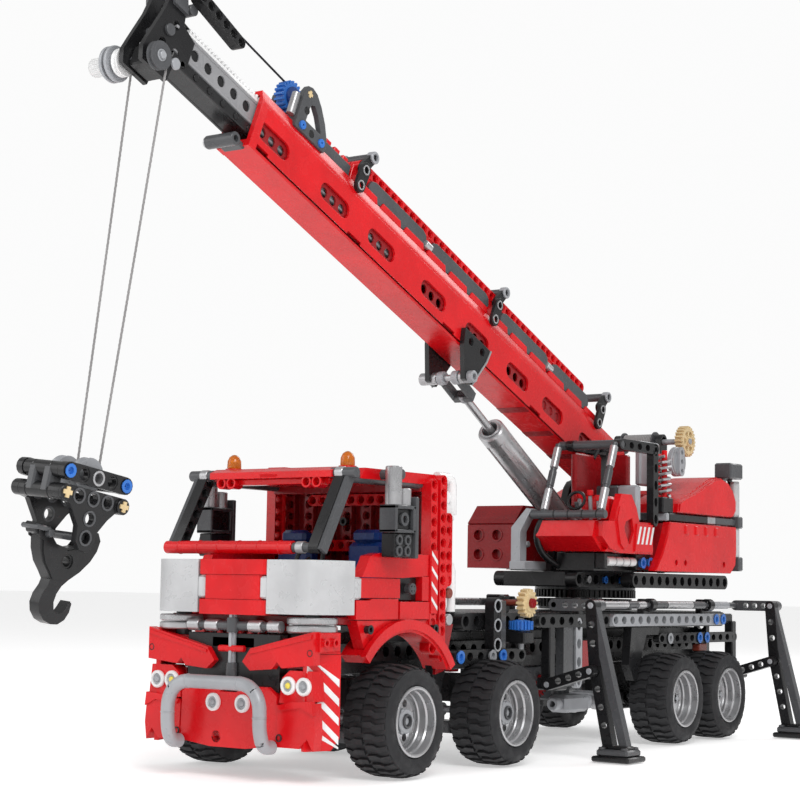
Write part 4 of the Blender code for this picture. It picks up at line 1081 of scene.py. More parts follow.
def luffing_cylinder():
    g = Group("barrel_set", "cylinder_barrel", CYLINDER, ("cylinder_barrel",))
    profile = [(6.2, 171.8), (9.2, 172.4), (10.4, 171.2), (10.5, 163.4), (9.4, 162.6), (9.4, 44),
               (10.4, 43.0), (10.5, 32), (9.6, 30.4), (0.2, 30.2), (0.2, 60.0), (6.2, 60.0)]
    g.add("silver", turned(profile[::-1], 40))
    for k in range(4):
        a = math.radians(45 + 90 * k)
        rib = Matrix.Rotation(a, 4, "Z")
        g.box("silver", (9.0, 10.4), (-1.4, 1.4), (44, 162.6), 0.3, rib)
    g.add("silver", ring(6.2, 7.4, 172.2, 173.4, 30))
    for s in SIDES:
        g.box("light_grey", (s * 5.0, s * 8.6), (-5.5, 5.5), (0.5, 31.5), 1.2)
        g.rod("light_grey", (s * 5.0, 0, 0), (s * 8.8, 0, 0), 6.2, 22, 3.2)
    g.box("light_grey", (-8.6, 8.6), (-7.5, 7.5), (24, 31.5), 1.5)
    rod_set = Group("rod_set", "cylinder_rod", CYLINDER, ("cylinder_rod",))
    rod_set.add("silver", cylinder(3.0, STROKE - 106, STROKE - 20, 24, edge=0.6))
    rod_set.add("light_grey", cylinder(4.4, STROKE - 26, STROKE - 19, 24, edge=0.8))
    for s in SIDES:
        rod_set.box("dark_grey", (s * 5.2, s * 8.6), (-4.2, 4.2), (STROKE - 22, STROKE), 1.0)
        rod_set.rod("light_grey", (s * 3.6, 0, STROKE), (s * 8.8, 0, STROKE), 5.0, 20, 2.6)
    rod_set.box("dark_grey", (-8.4, 8.4), (-4.2, 4.2), (STROKE - 25, STROKE - 19), 1.0)


# ---------------------------------------------------------------- hook

ROW = 21.2                   # from the block's centre to its end holes
HOOK_PITCH = 10.6            # hole spacing of the block's beams
HOOK_WIDTH = 4.6             # thickness of the block's beams
# Outline of the hook, (y, z) below the block's centre.
BLADE = [(-24.4, -31.2), (-23.4, -29.6), (-14.0, -30.0), (-11.4, -34.0), (-6.0, -38.6), (2.0, -39.6),
         (9.0, -37.4), (13.0, -31.6), (17.0, -27.2), (22.4, -27.6), (25.0, -31.6), (24.0, -37.6),
         (20.6, -44.0), (14.6, -50.8), (7.6, -56.4), (3.6, -60.4), (1.2, -65.0), (0.4, -69.6), (1.6, -73.6),
         (4.6, -75.6), (8.0, -74.4), (10.0, -71.4), (12.0, -67.4), (13.4, -68.6), (13.0, -73.4),
         (10.6, -78.0), (6.4, -81.0), (1.2, -81.6), (-4.2, -80.0), (-8.2, -76.2), (-9.8, -71.4),
         (-8.8, -66.4), (-6.0, -61.4), (-5.2, -58.0), (-8.8, -54.0), (-13.4, -49.6), (-17.0, -43.0),
         (-18.6, -36.4), (-22.6, -35.0)]


def hook_block():
    g = Group("hook_block_set", "hook_block", BLOCK, ("hook_block",))
    wide = Matrix.Diagonal((HOOK_PITCH / PITCH, HOOK_PITCH / PITCH, HOOK_WIDTH / BEAM, 1.0))
    for s in SIDES:
        x = s * 16.8
        g.add("black", beam(5), at(x, -ROW, 0, "X") @ wide)
        g.add("blue", pin(10.0), at(x, ROW, 0, "X") @ wide)
        g.add("blue", pin(10.0), at(x, -ROW, 0, "X") @ wide)
        g.add("silver", ring(3.1, 4.3, -2.7, 2.7, 16), at(x, 0, 0, "X"))
        outline = [(-15.9, -16.6), (-7.2, -27.4), (-6.0, -36.0), (-2.4, -40.0), (3.8, -40.4), (7.2, -36.4),
                   (7.4, -29.2), (13.0, -21.0)]
        outline = arc((-ROW, -11.6), 4.6, 90, 235, 8) + outline + arc((ROW, -11.6), 4.6, 235, 450, 10)
        eyes = ((-HOOK_PITCH, -11.6), (0, -11.6), (HOOK_PITCH, -11.6), (0, -22.4), (0, -HOOK_PIN_DROP))
        g.plate("black", "X", outline, s * 14.6, s * 18.4, [circle(c, 3.2, 14) for c in eyes])
        for c in eyes:
            g.add("dark_grey", ring(3.3, 4.5, -2.2, 2.2, 16), at(s * 16.6, *c, "X"))
        g.box("dark_grey", (s * 3.0, s * 9.0), (-ROW - 4.7, -ROW + 4.7), (-13, 1.5), 1.0)
    for y in (-ROW, ROW):
        for x0, x1, colour in ((-14.4, -7, "black"), (-7, 7, "black"), (7, 14.4, "black")):
            g.rod(colour, (x0 + 0.15, y, 0), (x1 - 0.15, y, 0), 4.5, 20)
        for x0, x1 in ((-20.6, -9), (-9, 9), (9, 20.6)):
            g.rod("black", (x0 + 0.15, y, -11.6), (x1 - 0.15, y, -11.6), 4.5, 20)
        g.add("tan", cross(42.6, 3.0, 1.2), at(0, y, -11.6, "X"))
    for x in (-9.0, 9.0):
        groove = [(2.6, -3.0), (9.6, -3.0), (9.9, -2.4), (8.0, -0.8), (8.0, 0.8), (9.9, 2.4), (9.6, 3.0),
                  (2.6, 3.0)]
        g.add("light_grey", turned(groove, 28), at(x, 0, 1, "X"))
    g.rod("black", (-14, 0, 1), (14, 0, 1), 2.5)
    g.rod("dark_grey", (-15, 0, -HOOK_PIN_DROP), (15, 0, -HOOK_PIN_DROP), 2.3)
    h = Group("hook_set", "hook", BLOCK, ("hook",))
    h.plate("black", "X", BLADE, -3.9, 3.9, [circle((3.4, -46.6), 3.0, 16)])
    inset = [(0.88 * y + 0.2, 0.9 * z - 5.4) for y, z in BLADE[:15] + BLADE[33:]]
    for s in SIDES:
        h.plate("black", "X", inset, s * 3.8, s * 4.6, [circle((3.4, -46.6), 4.2, 16)])
    h.box("dark_grey", (-7.5, 7.5), (-24.4, -14.6), (-33.4, -30.6), 0.8)
    h.rod("dark_grey", (-8, -14.5, -34), (8, -14.5, -34), 2.2)


def rope(name, p, q, r=0.75):
    """Twisted cord from p to q, both given in metres."""
    steps, turns = 40, 26
    axis = q - p
    side = axis.orthogonal().normalized()
    up = axis.normalized().cross(side)
    strands = []
    for k in range(3):
        path = []
        for i in range(steps * 3 + 1):
            t = i / (steps * 3)
            a = 2 * math.pi * (turns * t + k / 3)
            path.append((p + axis * t) / UNIT + 0.45 * r * (side * math.cos(a) + up * math.sin(a)))
        strands.append(swept(path, 0.62 * r, 5))
    points, faces = merge(strands)
    obj = mesh_object(name, [tuple(UNIT * Vector(c)) for c in points], faces, "rope")
    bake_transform(obj)


def ropes():
    for mark, x in (("L", 14.0), ("R", -14.0)):
        top = FALLS @ Vector((x, 7.4, 0))
        low = BLOCK @ Vector((0.62 * x, 8.4, 1))
        rope(f"fall_{mark}", top, low)


def cord():
    """Thin cord from the guide gear up to the link on the folded arm."""
    start, end = BOOM @ Vector((-4.4, -466.0, 71.0)), BOOM @ Vector((0.0, -560.0, 68.0))
    points, faces = swept([start.lerp(end, i / 24) / UNIT for i in range(25)], 0.7, 8)
    obj = mesh_object("stay_cord", [tuple(UNIT * Vector(c)) for c in points], faces, "cord")
    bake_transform(obj)


# ---------------------------------------------------------------- upper works

def slewing_ring():
    base = Group("slew_base_set", "chassis", replaces=("turntable_base",))
    base.add("black", slab(toothed(44, 36.8, 2.0), 102.4, 108.9, [circle((0, 0), 16.5, 24)]),
             at(0, SLEW_Y, 0))
    base.add("dark_grey", cylinder(36.9, 100.4, 102.6, 48, 16.6), at(0, SLEW_Y, 0))
    g = Group("super_frame_set", "upper_works", replaces=("super_frame",))
    g.add("black", slab(toothed(60, 39.8, 2.2), 109.6, 115.6, [circle((0, 0), 16.5, 24)]), at(0, SLEW_Y, 0))
    g.add("dark_grey", cylinder(39.6, 115.6, 118.2, 56, 16.5), at(0, SLEW_Y, 0))
    g.box("black", (-27, 27), (281, 396), (118.2, 129.2))
    g.box("black", (-50, 50), (404.4, 493.4), (118.2, 129.2))
    g.box("black", (-34, 34), (390, 406), (118.2, 129.2))
    for s in SIDES:
        g.add("black", tall_beam(9), at(s * 31.0, 287, 123.6, "X"))
        g.add("black", tall_beam(13), at(s * 55.0, 332, 123.6, "X"))
        g.pin("silver", s * 36.4, 300.0, 123.6, "X", 3.0)
        for y in (326.0, 352.0):
            g.pin("blue", s * 36.0, y, 123.6, "X", 3.6)
        cheek = [(331, 128.4), (401, 128.4), (392, 198), (384, 203.5), (376, 204.5), (367, 202), (362, 197),
                 (346, 160)]
        holes = [BOOM_PIN, RAM_PIN, (384, 158), (384, 175), (352, 140)]
        g.plate("black", "X", cheek, s * 16.0, s * 21.8, (), holes)
        g.rod("light_grey", (s * 15.2, *BOOM_PIN), (s * 23.6, *BOOM_PIN), 3.6, 18, 2.0)
        g.rod("light_grey", (s * 10.2, *RAM_PIN), (s * 23.2, *RAM_PIN), 2.9, 16)
        g.add("black", tall_beam(9), at(s * 19.6, 452, 136, "X", 90) @ squashed(1, 0.5))
    under_cab_links(g, 1)
    g.rod("silver", (-14, *BOOM_PIN), (14, *BOOM_PIN), 2.3)
    winch()


def under_cab_links(g, s):
    """White axle, blue pins and their black carrier under the side boxes."""
    g.box("black", (s * 18, s * 50), (284, 345), (129.6, 143.8), 0.6)
    g.box("black", (s * 44, s * 58), (286, 291), (131.5, 143.6), 0.6)
    g.box("black", (s * 44, s * 58), (336.4, 362), (131.2, 143.6), 0.6)
    g.rod("white", (s * 56, 292, 137.4), (s * 56, 335, 137.4), 3.4, 18)
    for y in (303, 314, 325):
        g.add("light_grey", band(3.4, 3.8, 0.5, 0.2), at(s * 56, y, 137.4, "Y"))
    for y in (343.0, 355.0):
        g.add("blue", big_pin(5.0), at(s * 58.4, y, 137.0, "X"))


@lru_cache(None)
def tall_beam(count):
    """Large beam along x with its first hole at the origin and its holes along z."""
    holes = [circle((i * HOLE_PITCH, 0), 3.6, 14) for i in range(count)]
    return slab(capsule((0, 0), ((count - 1) * HOLE_PITCH, 0), 5.7), -5.2, 5.2, holes)


def squashed(height, width):
    """Placement that makes a large beam lower and thinner."""
    return Matrix.Diagonal((1, height, width, 1))


@lru_cache(None)
def big_pin(length):
    """Connector pin for the large beams."""
    h = length / 2
    return turned([(3.4, -h), (3.4, h - 0.6), (4.4, h - 0.4), (4.4, h), (2.3, h), (2.0, h - 2.0),
                   (0.4, h - 2.0), (0.4, -h + 2.0), (2.0, -h + 2.0), (2.3, -h)], 14)


def rear_covers():
    g = Group("rear_cover_set", "upper_works", replaces=("rear_cover_low", "rear_cover_top", "rear_frame"))
    low = [(349.5, 131), (484, 131), (493, 138), (494.6, 150), (494.4, 169.6), (374, 169.6), (369, 158),
           (360, 143)]
    top = [(389, 177.4), (489, 177.4), (494.3, 183), (494.4, 191), (489, 200.5), (480, 207), (468, 210),
           (456, 208.6), (440, 202.4), (418, 194), (400, 188.6), (391, 184.6)]
    recessed = (384, 400, 470)
    for s in SIDES:
        recess = [circle((y, 138.2), 3.9, 16) for y in recessed]
        g.plate("red", "X", low, s * 61.5, s * 67.2, recess)
        # Darkened red infill inside the lower cover: painted shade.
        g.plate("dark_red", "X", [(y, min(max(z, 132), 168.6)) for y, z in low], s * 24.6, s * 61.6)
        g.plate("red", "X", [(0.985 * y + 6.4, 0.97 * z + 4.4) for y, z in low], s * 67.0, s * 68.0, recess)
        g.plate("red", "X", top, s * 24.6, s * 62.0)
        g.plate("red", "X", [(0.99 * y + 4.6, 0.96 * z + 7.4) for y, z in top], s * 61.8, s * 66.0)
        g.plate("red", "X", [(0.975 * y + 11.2, 0.9 * z + 18.6) for y, z in top], s * 65.8, s * 67.8)
        for y in recessed:
            g.add("red", ring(2.4, 3.9, -3, 0.5, 16), at(s * 67.6, y, 138.2, "X"))
        for y in (402, 420, 438, 456):
            g.box("red", (s * 66.6, s * 69.2), (y - 3, y + 3), (160.5, 168.0), 0.8)
        for x in (30, 38, 46, 54):
            g.box("red", (s * (x - 3), s * (x + 3)), (493.6, 495.2), (160.5, 168.0), 0.5)
        label_strip(g, s)
        g.box("red", (s * 34.2, s * 40.8), (407, 421), (197, 214), 1.0)
        lug = capsule((LUFF_CRANK[0], 208), LUFF_CRANK, 6.9)
        g.plate("red", "X", lug, s * 34.2, s * 40.8, [circle(LUFF_CRANK, 3.4, 16)])
    g.box("red", (-60, 60), (463, 492), (131.2, 169.4), 3.0)
    g.box("red", (-25, 25), (463, 492.6), (177.6, 199.8), 3.0)
    rear_posts(g)


def label_strip(g, s):
    """Plain black band between the covers with its grey ends, lettering left out."""
    for y0, y1, colour, x in ((372, 376, "light_grey", 66.0), (376.4, 444, "black", 66.2),
                              (444.4, 458, "silver", 66.4), (458.4, 496, "dark_grey", 66.4)):
        g.box(colour, (s * 56, s * x), (y0, y1), (170.5, 176.5), 0.6)
    g.box("dark_grey", (s * 25, s * 57), (356, 496), (170.6, 176.2), 0.6)


def rear_posts(g):
    """Silver and pearl tubes at the rear corners with the holed beams between them."""
    for s in SIDES:
        g.rod("silver", (s * 63.6, 499.8, 138), (s * 63.6, 499.8, 208), 3.9, 20)
        g.rod("pearl", (s * 63.6, 499.8, 142), (s * 63.6, 499.8, 168), 4.1, 20)
        g.rod("pearl", (s * 63.6, 499.8, 180), (s * 63.6, 499.8, 206), 4.1, 20)
        g.box("dark_grey", (s * 58.6, s * 69.6), (495.6, 503.8), (133.2, 145), 1.0)
        g.box("dark_grey", (s * 58.6, s * 69.6), (495.6, 503.8), (168.6, 178.6), 1.0)
        g.box("dark_grey", (s * 54.4, s * 69.6), (480, 503.8), (209.6, 222.6), 1.2)
        g.add("black", tall_beam(6), at(s * 56.4, 499.8, 141.5, "Y", 90) @ squashed(0.7, 0.7))
    g.box("black", (-60, 60), (496.4, 502.8), (169.6, 177.8), 0.8)
    for x in range(-44, 45, 13):
        g.add("dark_grey", ring(2.2, 3.6, -0.4, 0.5, 14), at(x, 496.3, 173.6, "Y"))


def operator_cab():
    g = Group("op_cab_set", "upper_works", replaces=("op_cab_body", "op_cab_frame"))
    g.plate("red", "X", [(258.6, 155), (262.0, 166.8), (268, 166.8), (266, 155.6), (277, 147),
                         (272, 144.2)], 15.0, 63.0)
    g.plate("red", "X", [(272, 144.2), (277, 147.6), (343, 147.6), (343, 144.2)], 25.5, 66.0)
    # Darkened red infill inside the cab: painted shade.
    g.plate("dark_red", "X", [(264, 156), (277, 147.4), (342, 147.4), (342, 166.4), (266, 166.4)], 26.0,
            63.0)
    window = [(293, 153), (300, 167), (310, 170), (313, 160), (307, 150)]
    panel = [(263.5, 155), (276, 146.4), (292, 143.4), (343.2, 143.4), (343.2, 167.4), (321.6, 167.4),
             (317, 178), (309, 187.6), (293, 187.6), (287, 176), (283, 167), (264.8, 166.2)]
    g.plate("red", "X", panel, 63.0, 68.4, [window])
    # Darkened red plate behind the window: painted shade.
    g.plate("dark_red", "X", [(288, 147), (320, 147), (320, 172), (292, 172)], 63.2, 66.4)
    g.plate("red", "X", [(285, 168), (290, 150), (296, 146), (302, 151), (296, 160), (294, 172),
                         (289, 178)], 68.2, 69.8)
    g.plate("red", "X", [(313, 145), (341.5, 145), (341.5, 166), (316, 166)], 68.2, 69.6)
    for k in range(4):
        y = 315.5 + 6.8 * k
        g.plate("white", "X", [(y, 150.6), (y + 2.6, 150.6), (y + 7.4, 164.0), (y + 4.8, 164.0)], 69.4,
                69.95)
    cab_cage(g)
    cab_inside(g)


def cab_cage(g):
    """Bars, silver sleeves and holed beams around the operator's seat."""
    low, high = Vector((0, 261, 171)), Vector((0, 283, 225))
    g.rod("dark_grey", (10.0, 261, 171), (72.8, 261, 171), 3.2, 18)
    for x in (30, 42, 54, 66):
        g.add("black", band(3.2, 3.6, 0.5, 0.2), at(x, 261, 171, "X"))
    for x in (20.0, 68.0):
        side = Vector((x, 0, 0))
        for t0, t1, colour, r in ((0.0, 1.0, "dark_grey", 2.5), (0.06, 0.36, "silver", 3.1),
                                  (0.4, 0.62, "dark_grey", 3.0), (0.66, 0.95, "silver", 3.1)):
            g.rod(colour, side + low.lerp(high, t0), side + low.lerp(high, t1), r, 16)
    g.rod("dark_grey", (17.0, 290, 224.4), (70.8, 290, 224.4), 3.5, 18)
    for x in (27.0, 68.0):
        g.add("black", tall_beam(5), at(x, 291, 224.4, "X") @ squashed(0.72, 0.56))
        g.add("black", tall_beam(5), at(x, 343.6, 170.5, "X", 90) @ squashed(0.72, 0.56))
    g.rod("dark_grey", (25, 337, 225), (70, 337, 225), 2.4, 14)
    g.tube("black", [(17, 264, 168), (13.6, 260, 156), (14, 268, 142), (19, 284, 133.6)], 2.6, 12, 3)
    bent = [(11, 175.0), (6.6, 176.0), (-6.6, 161.6), (-6.6, 134), (1.4, 134), (1.4, 158.4)]
    g.plate("light_grey", "Y", bent, 258.5, 267.5)
    g.box("light_grey", (-7.4, 6.0), (257, 290), (129.4, 136.5), 0.8)


def cab_inside(g):
    """Seat, levers, steering wheel, coil and hoses behind the panel."""
    g.box("light_grey", (49, 66.6), (321, 328), (168, 195.6), 1.6)
    g.box("dark_grey", (29, 49), (322, 345.6), (168, 195.6), 1.6)
    g.box("red", (33, 58), (291, 312), (166.4, 186), 2.2)
    # Darkened red boxes inside the cab: painted shade.
    g.box("dark_red", (26.4, 31), (290, 330), (178, 219), 1.2)
    g.box("dark_red", (34, 50), (336, 342), (196, 220), 1.2)
    for x, y, z in ((38, 285, 186), (46, 287, 188), (54, 285, 184)):
        g.rod("light_grey", (x, y, 168), (x, y - 2, z), 1.5, 10)
        g.add("red", cylinder(2.6, -2.2, 2.2, 14), at(x, y - 2, z))
    g.rod("dark_grey", (40, 279, 168), (40, 275, 181), 1.6, 10)
    wheel = [(40 + 7 * math.cos(a), 275 + 2 * math.sin(a), 182 + 6.4 * math.sin(a))
             for a in (2 * math.pi * k / 18 for k in range(19))]
    g.tube("black", wheel, 1.2, 8)
    coil = [(60 + 4.8 * math.cos(1.1 * k), 379 + 4.8 * math.sin(1.1 * k), 190 + 0.8 * k) for k in range(40)]
    g.tube("silver", coil, 1.15, 8)
    g.rod("red", (60, 379, 176), (60, 379, 226), 2.2, 14)
    g.box("black", (56, 64.5), (368, 386), (176.2, 189), 1.0)
    g.box("light_grey", (24.6, 30), (396, 430), (200, 236), 1.4)
    for k, (y, z) in enumerate(((326, 226), (331, 229), (336, 232))):
        hose = [(24 + 3 * k, 318, 216), (22 + 3 * k, y, z), (16 + 3 * k, 356, 226), (18, 366, 206)]
        g.tube("hose", hose, 1.9, 8, 3)


def engine_box():
    g = Group("engine_box_set", "upper_works", replaces=("engine_box",))
    body = [(296, 131.4), (344.6, 131.4), (344.6, 179.6), (307, 179.6), (296, 170)]
    # The whole box is darkened red: painted shade of its front face, which is turned from the light. Only the
    # outer strip is plain red.
    g.plate("dark_red", "X", body, -66.6, -26.0)
    fans = [(x, z) for x in (-57.5, -40.5) for z in (142, 157)]
    holes = [circle(c, 4.0, 16) for c in fans]
    g.plate("dark_red", "Y", [(-67.6, 131.4), (-25, 131.4), (-25, 165), (-67.6, 165)], 292.4, 296.6, holes)
    for x, z in fans:
        g.add("dark_red", ring(4.0, 5.2, -0.6, 0.6, 18), at(x, 292.4, z, "Y"))
    g.plate("dark_red", "X", [(292.6, 166.2), (306, 180.4), (345, 180.4), (345, 176), (308, 176),
                              (295, 164)], -67.8, -24.9)
    g.box("red", (-67.9, -66.4), (300, 342), (136, 172), 0.5)
    g.rod("light_grey", (-24.6, 300, 150), (-16, 300, 150), 2.4)


def winch():
    g = Group("winch_set", "winch_drum", replaces=("winch_drum",))
    y, z = WINCH
    g.rod("light_grey", (-26, y, z), (47, y, z), 2.4)
    g.add("tan", gear(24, 12.8, 6.6, holes=6), at(41.5, y, z, "X"))
    g.add("tan", ring(8.6, 11.0, -3.6, 3.6, 28), at(41.5, y, z, "X"))
    for x in (-14.4, 14.4):
        g.add("dark_grey", cylinder(9.0, -0.7, 0.7, 28), at(x, y, z, "X"))
    g.add("rope", cylinder(6.2, -13.6, 13.6, 24), at(0, y, z, "X"))
    turns, steps = 17, 14
    coil = [(-13.2 + 26.4 * k / (turns * steps), y + 6.4 * math.cos(2 * math.pi * k / steps),
             z + 6.4 * math.sin(2 * math.pi * k / steps)) for k in range(turns * steps + 1)]
    g.tube("rope", coil, 0.8, 5)
    crank = Group("luff_crank_set", "luff_crank", replaces=("luff_crank",))
    y, z = LUFF_CRANK
    crank.rod("dark_grey", (32, y, z), (51, y, z), 2.4)
    crank.add("light_grey", cylinder(11.9, 50.2, 55.0, 32, edge=0.8), at(0, y, z, "X"))
    arm = slab(capsule((0, -7.4), (0, 7.4), 4.4), 55.0, 58.0,
               [circle((0, d), 1.9, 14) for d in (-7.4, 0, 7.4)])
    crank.add("light_grey", arm, at(0, y, z, "X"))
    crank.add("silver", ring(9.0, 11.4, 55.0, 55.5, 32), at(0, y, z, "X"))


# ---------------------------------------------------------------- carrier

OUT_Y = (194.0, 492.0)        # front and rear outriggers
# (x, z) of the outrigger's pins: arm at the shaft, arm to leg, leg to link, link to frame.
PIN_A, PIN_B, PIN_C, PIN_D = (66.0, 105.0), (100.0, 105.0), (103.5, 60.5), (70.0, 50.0)


def spine():
    g = Group("spine_set", "chassis", replaces=("chassis_frame",))
    g.box("black", (-24, 24), (-44, 510), (60, 86))
    g.box("black", (-46, 46), (97, 511.4), (88, 99.6))
    for s in SIDES:
        g.add("black", tall_beam(42), at(s * 28.8, -36.4, 74, "X"))
        g.add("black", tall_beam(31), at(s * 49.2, 104, 93.4, "X"))
        g.box("black", (s * 26, s * 33), (340, 384), (24, 60), 1.0)
        g.box("black", (s * 26, s * 33), (418, 462), (24, 60), 1.0)
        g.add("black", tall_beam(2), at(s * 33.8, 356, WHEEL_Z, "X"))
        for y in STEERED_Y:
            g.box("black", (s * 8, s * 39.2), (y - 7.6, y + 7.6), (40, 58.6), 0.8)
            g.box("dark_grey", (s * 8, s * 39.2), (y - 7.6, y + 7.6), (19, 27), 0.8)
            for z0, z1 in ((18.9, 23.0), (46.0, 53.0)):
                ear = capsule((s * 36, y), (s * KING_X, y), 6.0)
                g.plate("black", "Z", ear, z0, z1, [circle((s * KING_X, y), 3.0, 14)])
            g.rod("light_grey", (s * 12, y, WHEEL_Z), (s * 40, y, WHEEL_Z), 2.4)
            g.rod("dark_grey", (s * 22, y, WHEEL_Z), (s * 30, y, WHEEL_Z), 4.4, 18)
    for y in STEERED_Y + DRIVEN_Y:
        g.box("dark_grey", (-12, 12), (y - 12, y + 12), (22.6 if y in STEERED_Y else 46, 58), 1.5)
        for x in range(-28, 29, 14):
            g.add("black", ring(2.2, 3.6, -0.5, 0.4, 14), at(x, y - 8.0, 53, "Y"))
    gearbox(g)
    crank_stand(g)
    tail(g)


def gearbox(g):
    """Middle gearbox with the light motor block, drive shaft and joints."""
    g.box("dark_grey", (-13.6, 13.6), (201, 295), (47, 58.8), 1.0)
    g.box("light_grey", (-9, 9), (222, 250), (33.4, 48), 2.2)
    g.rod("light_grey", (0, 250, 41), (0, 262, 41), 6.4, 22)
    g.rod("light_grey", (0, 200, 41), (0, 222, 41), 4.0, 18)
    g.rod("dark_grey", (0, 121, 41), (0, 351, 41), 2.6, 14)
    for y in (140, 176, 300, 330):
        g.rod("dark_grey", (0, y, 41), (0, y + 10, 41), 4.4, 18)
    # Darkened red gear under the frame: painted shade.
    g.add("dark_red", gear(16, 9.0, 5.6), at(12, 268, 44, "Y"))
    g.rod("brown", (9, 226, 40), (24, 226, 40), 2.4)
    g.box("dark_grey", (12, 26), (266, 292), (34, 50), 1.0)
    g.box("light_grey", (24, 41), (262, 296), (25.5, 38.2), 2.4)
    g.rod("light_grey", (33, 254, 32), (33, 262.4, 32), 4.6, 20, 2.4)
    g.rod("light_grey", (33, 295.6, 32), (33, 304, 32), 5.6, 22)
    g.rod("silver", (36, 309, 31), (44, 309, 31), 5.0, 22, 2.6)
    g.box("light_grey", (30, 37), (303, 314), (27, 36), 1.4)
    g.rod("light_grey", (15, 226, 40), (21, 226, 40), 4.4, 20, 2.6)


def crank_stand(g):
    """Bearings and links around the outriggers' crank, and the guards behind the front tyres."""
    for s in SIDES:
        g.box("black", (s * 38.2, s * 49.8), (153.4, 166.6), (99, 111.6), 0.8)
        g.add("black", ring(2.4, 4.4, -6.0, 6.2, 18), at(s * 44, *OUTRIGGER_CRANK, "X"))
        g.box("black", (s * 50, s * 69.6), (153.4, 166.6), (78.4, 86.6), 0.8)
        g.box("dark_grey", (s * 52, s * 60), (134, 146), (74, 108), 0.8)
        g.add("black", tall_beam(3), at(s * 60.4, 128, 78, "X", 90) @ squashed(0.8, 0.7))
        for k in range(3):
            g.add("light_grey", ring(3.4, 4.6, 0, 0.5, 16),
                  at(proud(s, 64.2, 0.5), 128, 78 + HOLE_PITCH * k, "X"))
        g.add("black", tall_beam(7), at(s * 58.4, 84, 70.6, "X") @ squashed(0.8, 0.8))
        for y, colour in ((84.0, "blue"), (123.0, "light_grey"), (136.0, "blue")):
            g.add(colour, big_pin(4.6), at(s * 62.0, y, 70.6, "X"))
        arch = [(58, 68), (78, 72), (70, 50), (61, 28), (56, 28), (62, 52)]
        g.plate("black", "X", arch, s * 53.0, s * 58.0)
        guard = [(150, 66), (166, 66), (176, 40), (176, 24), (171, 24), (168, 42)]
        g.plate("black", "X", guard, s * 50.0, s * 56.0)


def tail(g):
    """Holed cross beams and the drooping links at the back."""
    g.add("black", tall_beam(8), at(-45.5, 507.6, 93.6, "Y") @ squashed(1, 0.6))
    for s in SIDES:
        g.add("black", tall_beam(3), at(s * 30, 507.0, 62, "Y", 90) @ squashed(1, 0.6))
        g.add("red", cylinder(2.2, 510.6, 511.6, 14), at(s * 39, 0, 93.6, "Y") @ facing(-1))
    g.add("black", tall_beam(5), at(-26, 507.0, 62, "Y") @ squashed(1, 0.6))


def side_frames():
    for mark, s in MARKED_SIDES:
        g = Group(f"side_set_{mark}", "chassis", replaces=(f"chassis_side_{mark}",))
        g.box("black", (s * 55.2, s * 59.6), (182, 505), (89.2, 98.0), 1.2)
        g.add("light_grey", tall_beam(15), at(s * 60.3, 296, 93.5, "X") @ squashed(0.82, 0.48))
        g.add("black", tall_beam(8), at(s * 60.3, 190, 93.5, "X") @ squashed(0.82, 0.48))
        for y in (465.0, 478.0):
            g.add("blue", big_pin(4.0), at(s * 62.2, y, 93.5, "X"))
        g.add("black", tall_beam(11), at(s * 60.0, 371, 79.0, "X") @ squashed(0.72, 0.5))
        for y, colour in ((384.0, "light_grey"), (436.0, "blue"), (449.0, "blue")):
            g.add(colour, big_pin(4.0), at(s * 61.6, y, 79.0, "X"))
        for y in (204.0, 502.0):
            g.box("black", (s * 55, s * 62.4), (y - 3.8, y + 3.8), (45.4, 92), 0.8)
        g.plate("dark_grey", "X", [(221, 47), (236, 47), (236, 92), (221, 92)], s * 55, s * 61.4)
        g.add("light_grey", tall_beam(4), at(s * 60.4, 241, 51, "X", 90) @ squashed(0.8, 0.44))
        # Darkened red block under the side frame: painted shade.
        g.add("dark_red", slab([(-6, -14), (5, -14), (7, 2), (3, 13), (-5, 13)], 0.0, s * 6.0),
              at(s * 54, 256, 66, "X"))
        for y0 in (240, 340, 440):
            g.box("black", (s * 56.4, s * 62.6), (y0 + 0.4, y0 + 7.6), (92.6, 109.6), 0.8)
            g.add("black", ring(3.2, 5.0, -3.6, 3.6, 18), at(s * 66, y0 + 4, 105, "Y"))
        flap = [(322, 88), (368, 88), (366, 82), (346, 82), (330, 48), (326, 48), (318, 60)]
        g.plate("black", "X", flap, s * 55.2, s * 62.0)
        for y in OUT_Y:
            g.box("black", (s * 57.2, s * 73.2), (y - 3.5, y + 12.8), (45.6, 54.4), 1.0)
            g.rod("light_grey", (s * 70, y - 11.6, 50), (s * 70, y + 4.4, 50), 2.2)
        g.box("brown", (s * 56, s * 62.6), (436, 450), (68, 74), 0.6)


# ---------------------------------------------------------------- outriggers

def holes_between(p, q, spots, r):
    """Round holes at parts of the way from p to q."""
    return [circle((p[0] + (q[0] - p[0]) * t, p[1] + (q[1] - p[1]) * t), r, 12) for t in spots]


def outriggers():
    for mark, s in MARKED_SIDES:
        a, b, c, d = ((s * x, z) for x, z in (PIN_A, PIN_B, PIN_C, PIN_D))
        arms = Group(f"arm_set_{mark}", f"outrigger_arms_{mark}", replaces=(f"outrigger_arms_{mark}",))
        shaft(arms, a)
        for y in OUT_Y:
            holes = holes_between(a, b, (0.27, 0.5, 0.73), 2.4)
            arms.plate("dark_grey", "Y", capsule(a, b, 4.2), y + 4.4, y + 11.6, holes)
            arms.rod("light_grey", (b[0], y - 4.2, b[1]), (b[0], y + 11.8, b[1]), 2.2)
        for y, end in zip(OUT_Y, "FR"):
            leg(f"{end}{mark}", s, y, b, c)
            link = Group(f"link_set_{end}{mark}", f"outrigger_link_{end}{mark}",
                         replaces=(f"outrigger_link_{end}{mark}",))
            holes = holes_between(d, c, (0.0, 0.28, 0.52, 0.76), 2.4)
            link.plate("black", "Y", capsule(d, c, 3.9), y - 11.6, y - 4.4, holes)
            link.rod("light_grey", (c[0], y - 11.9, c[1]), (c[0], y - 4.2, c[1]), 2.2)


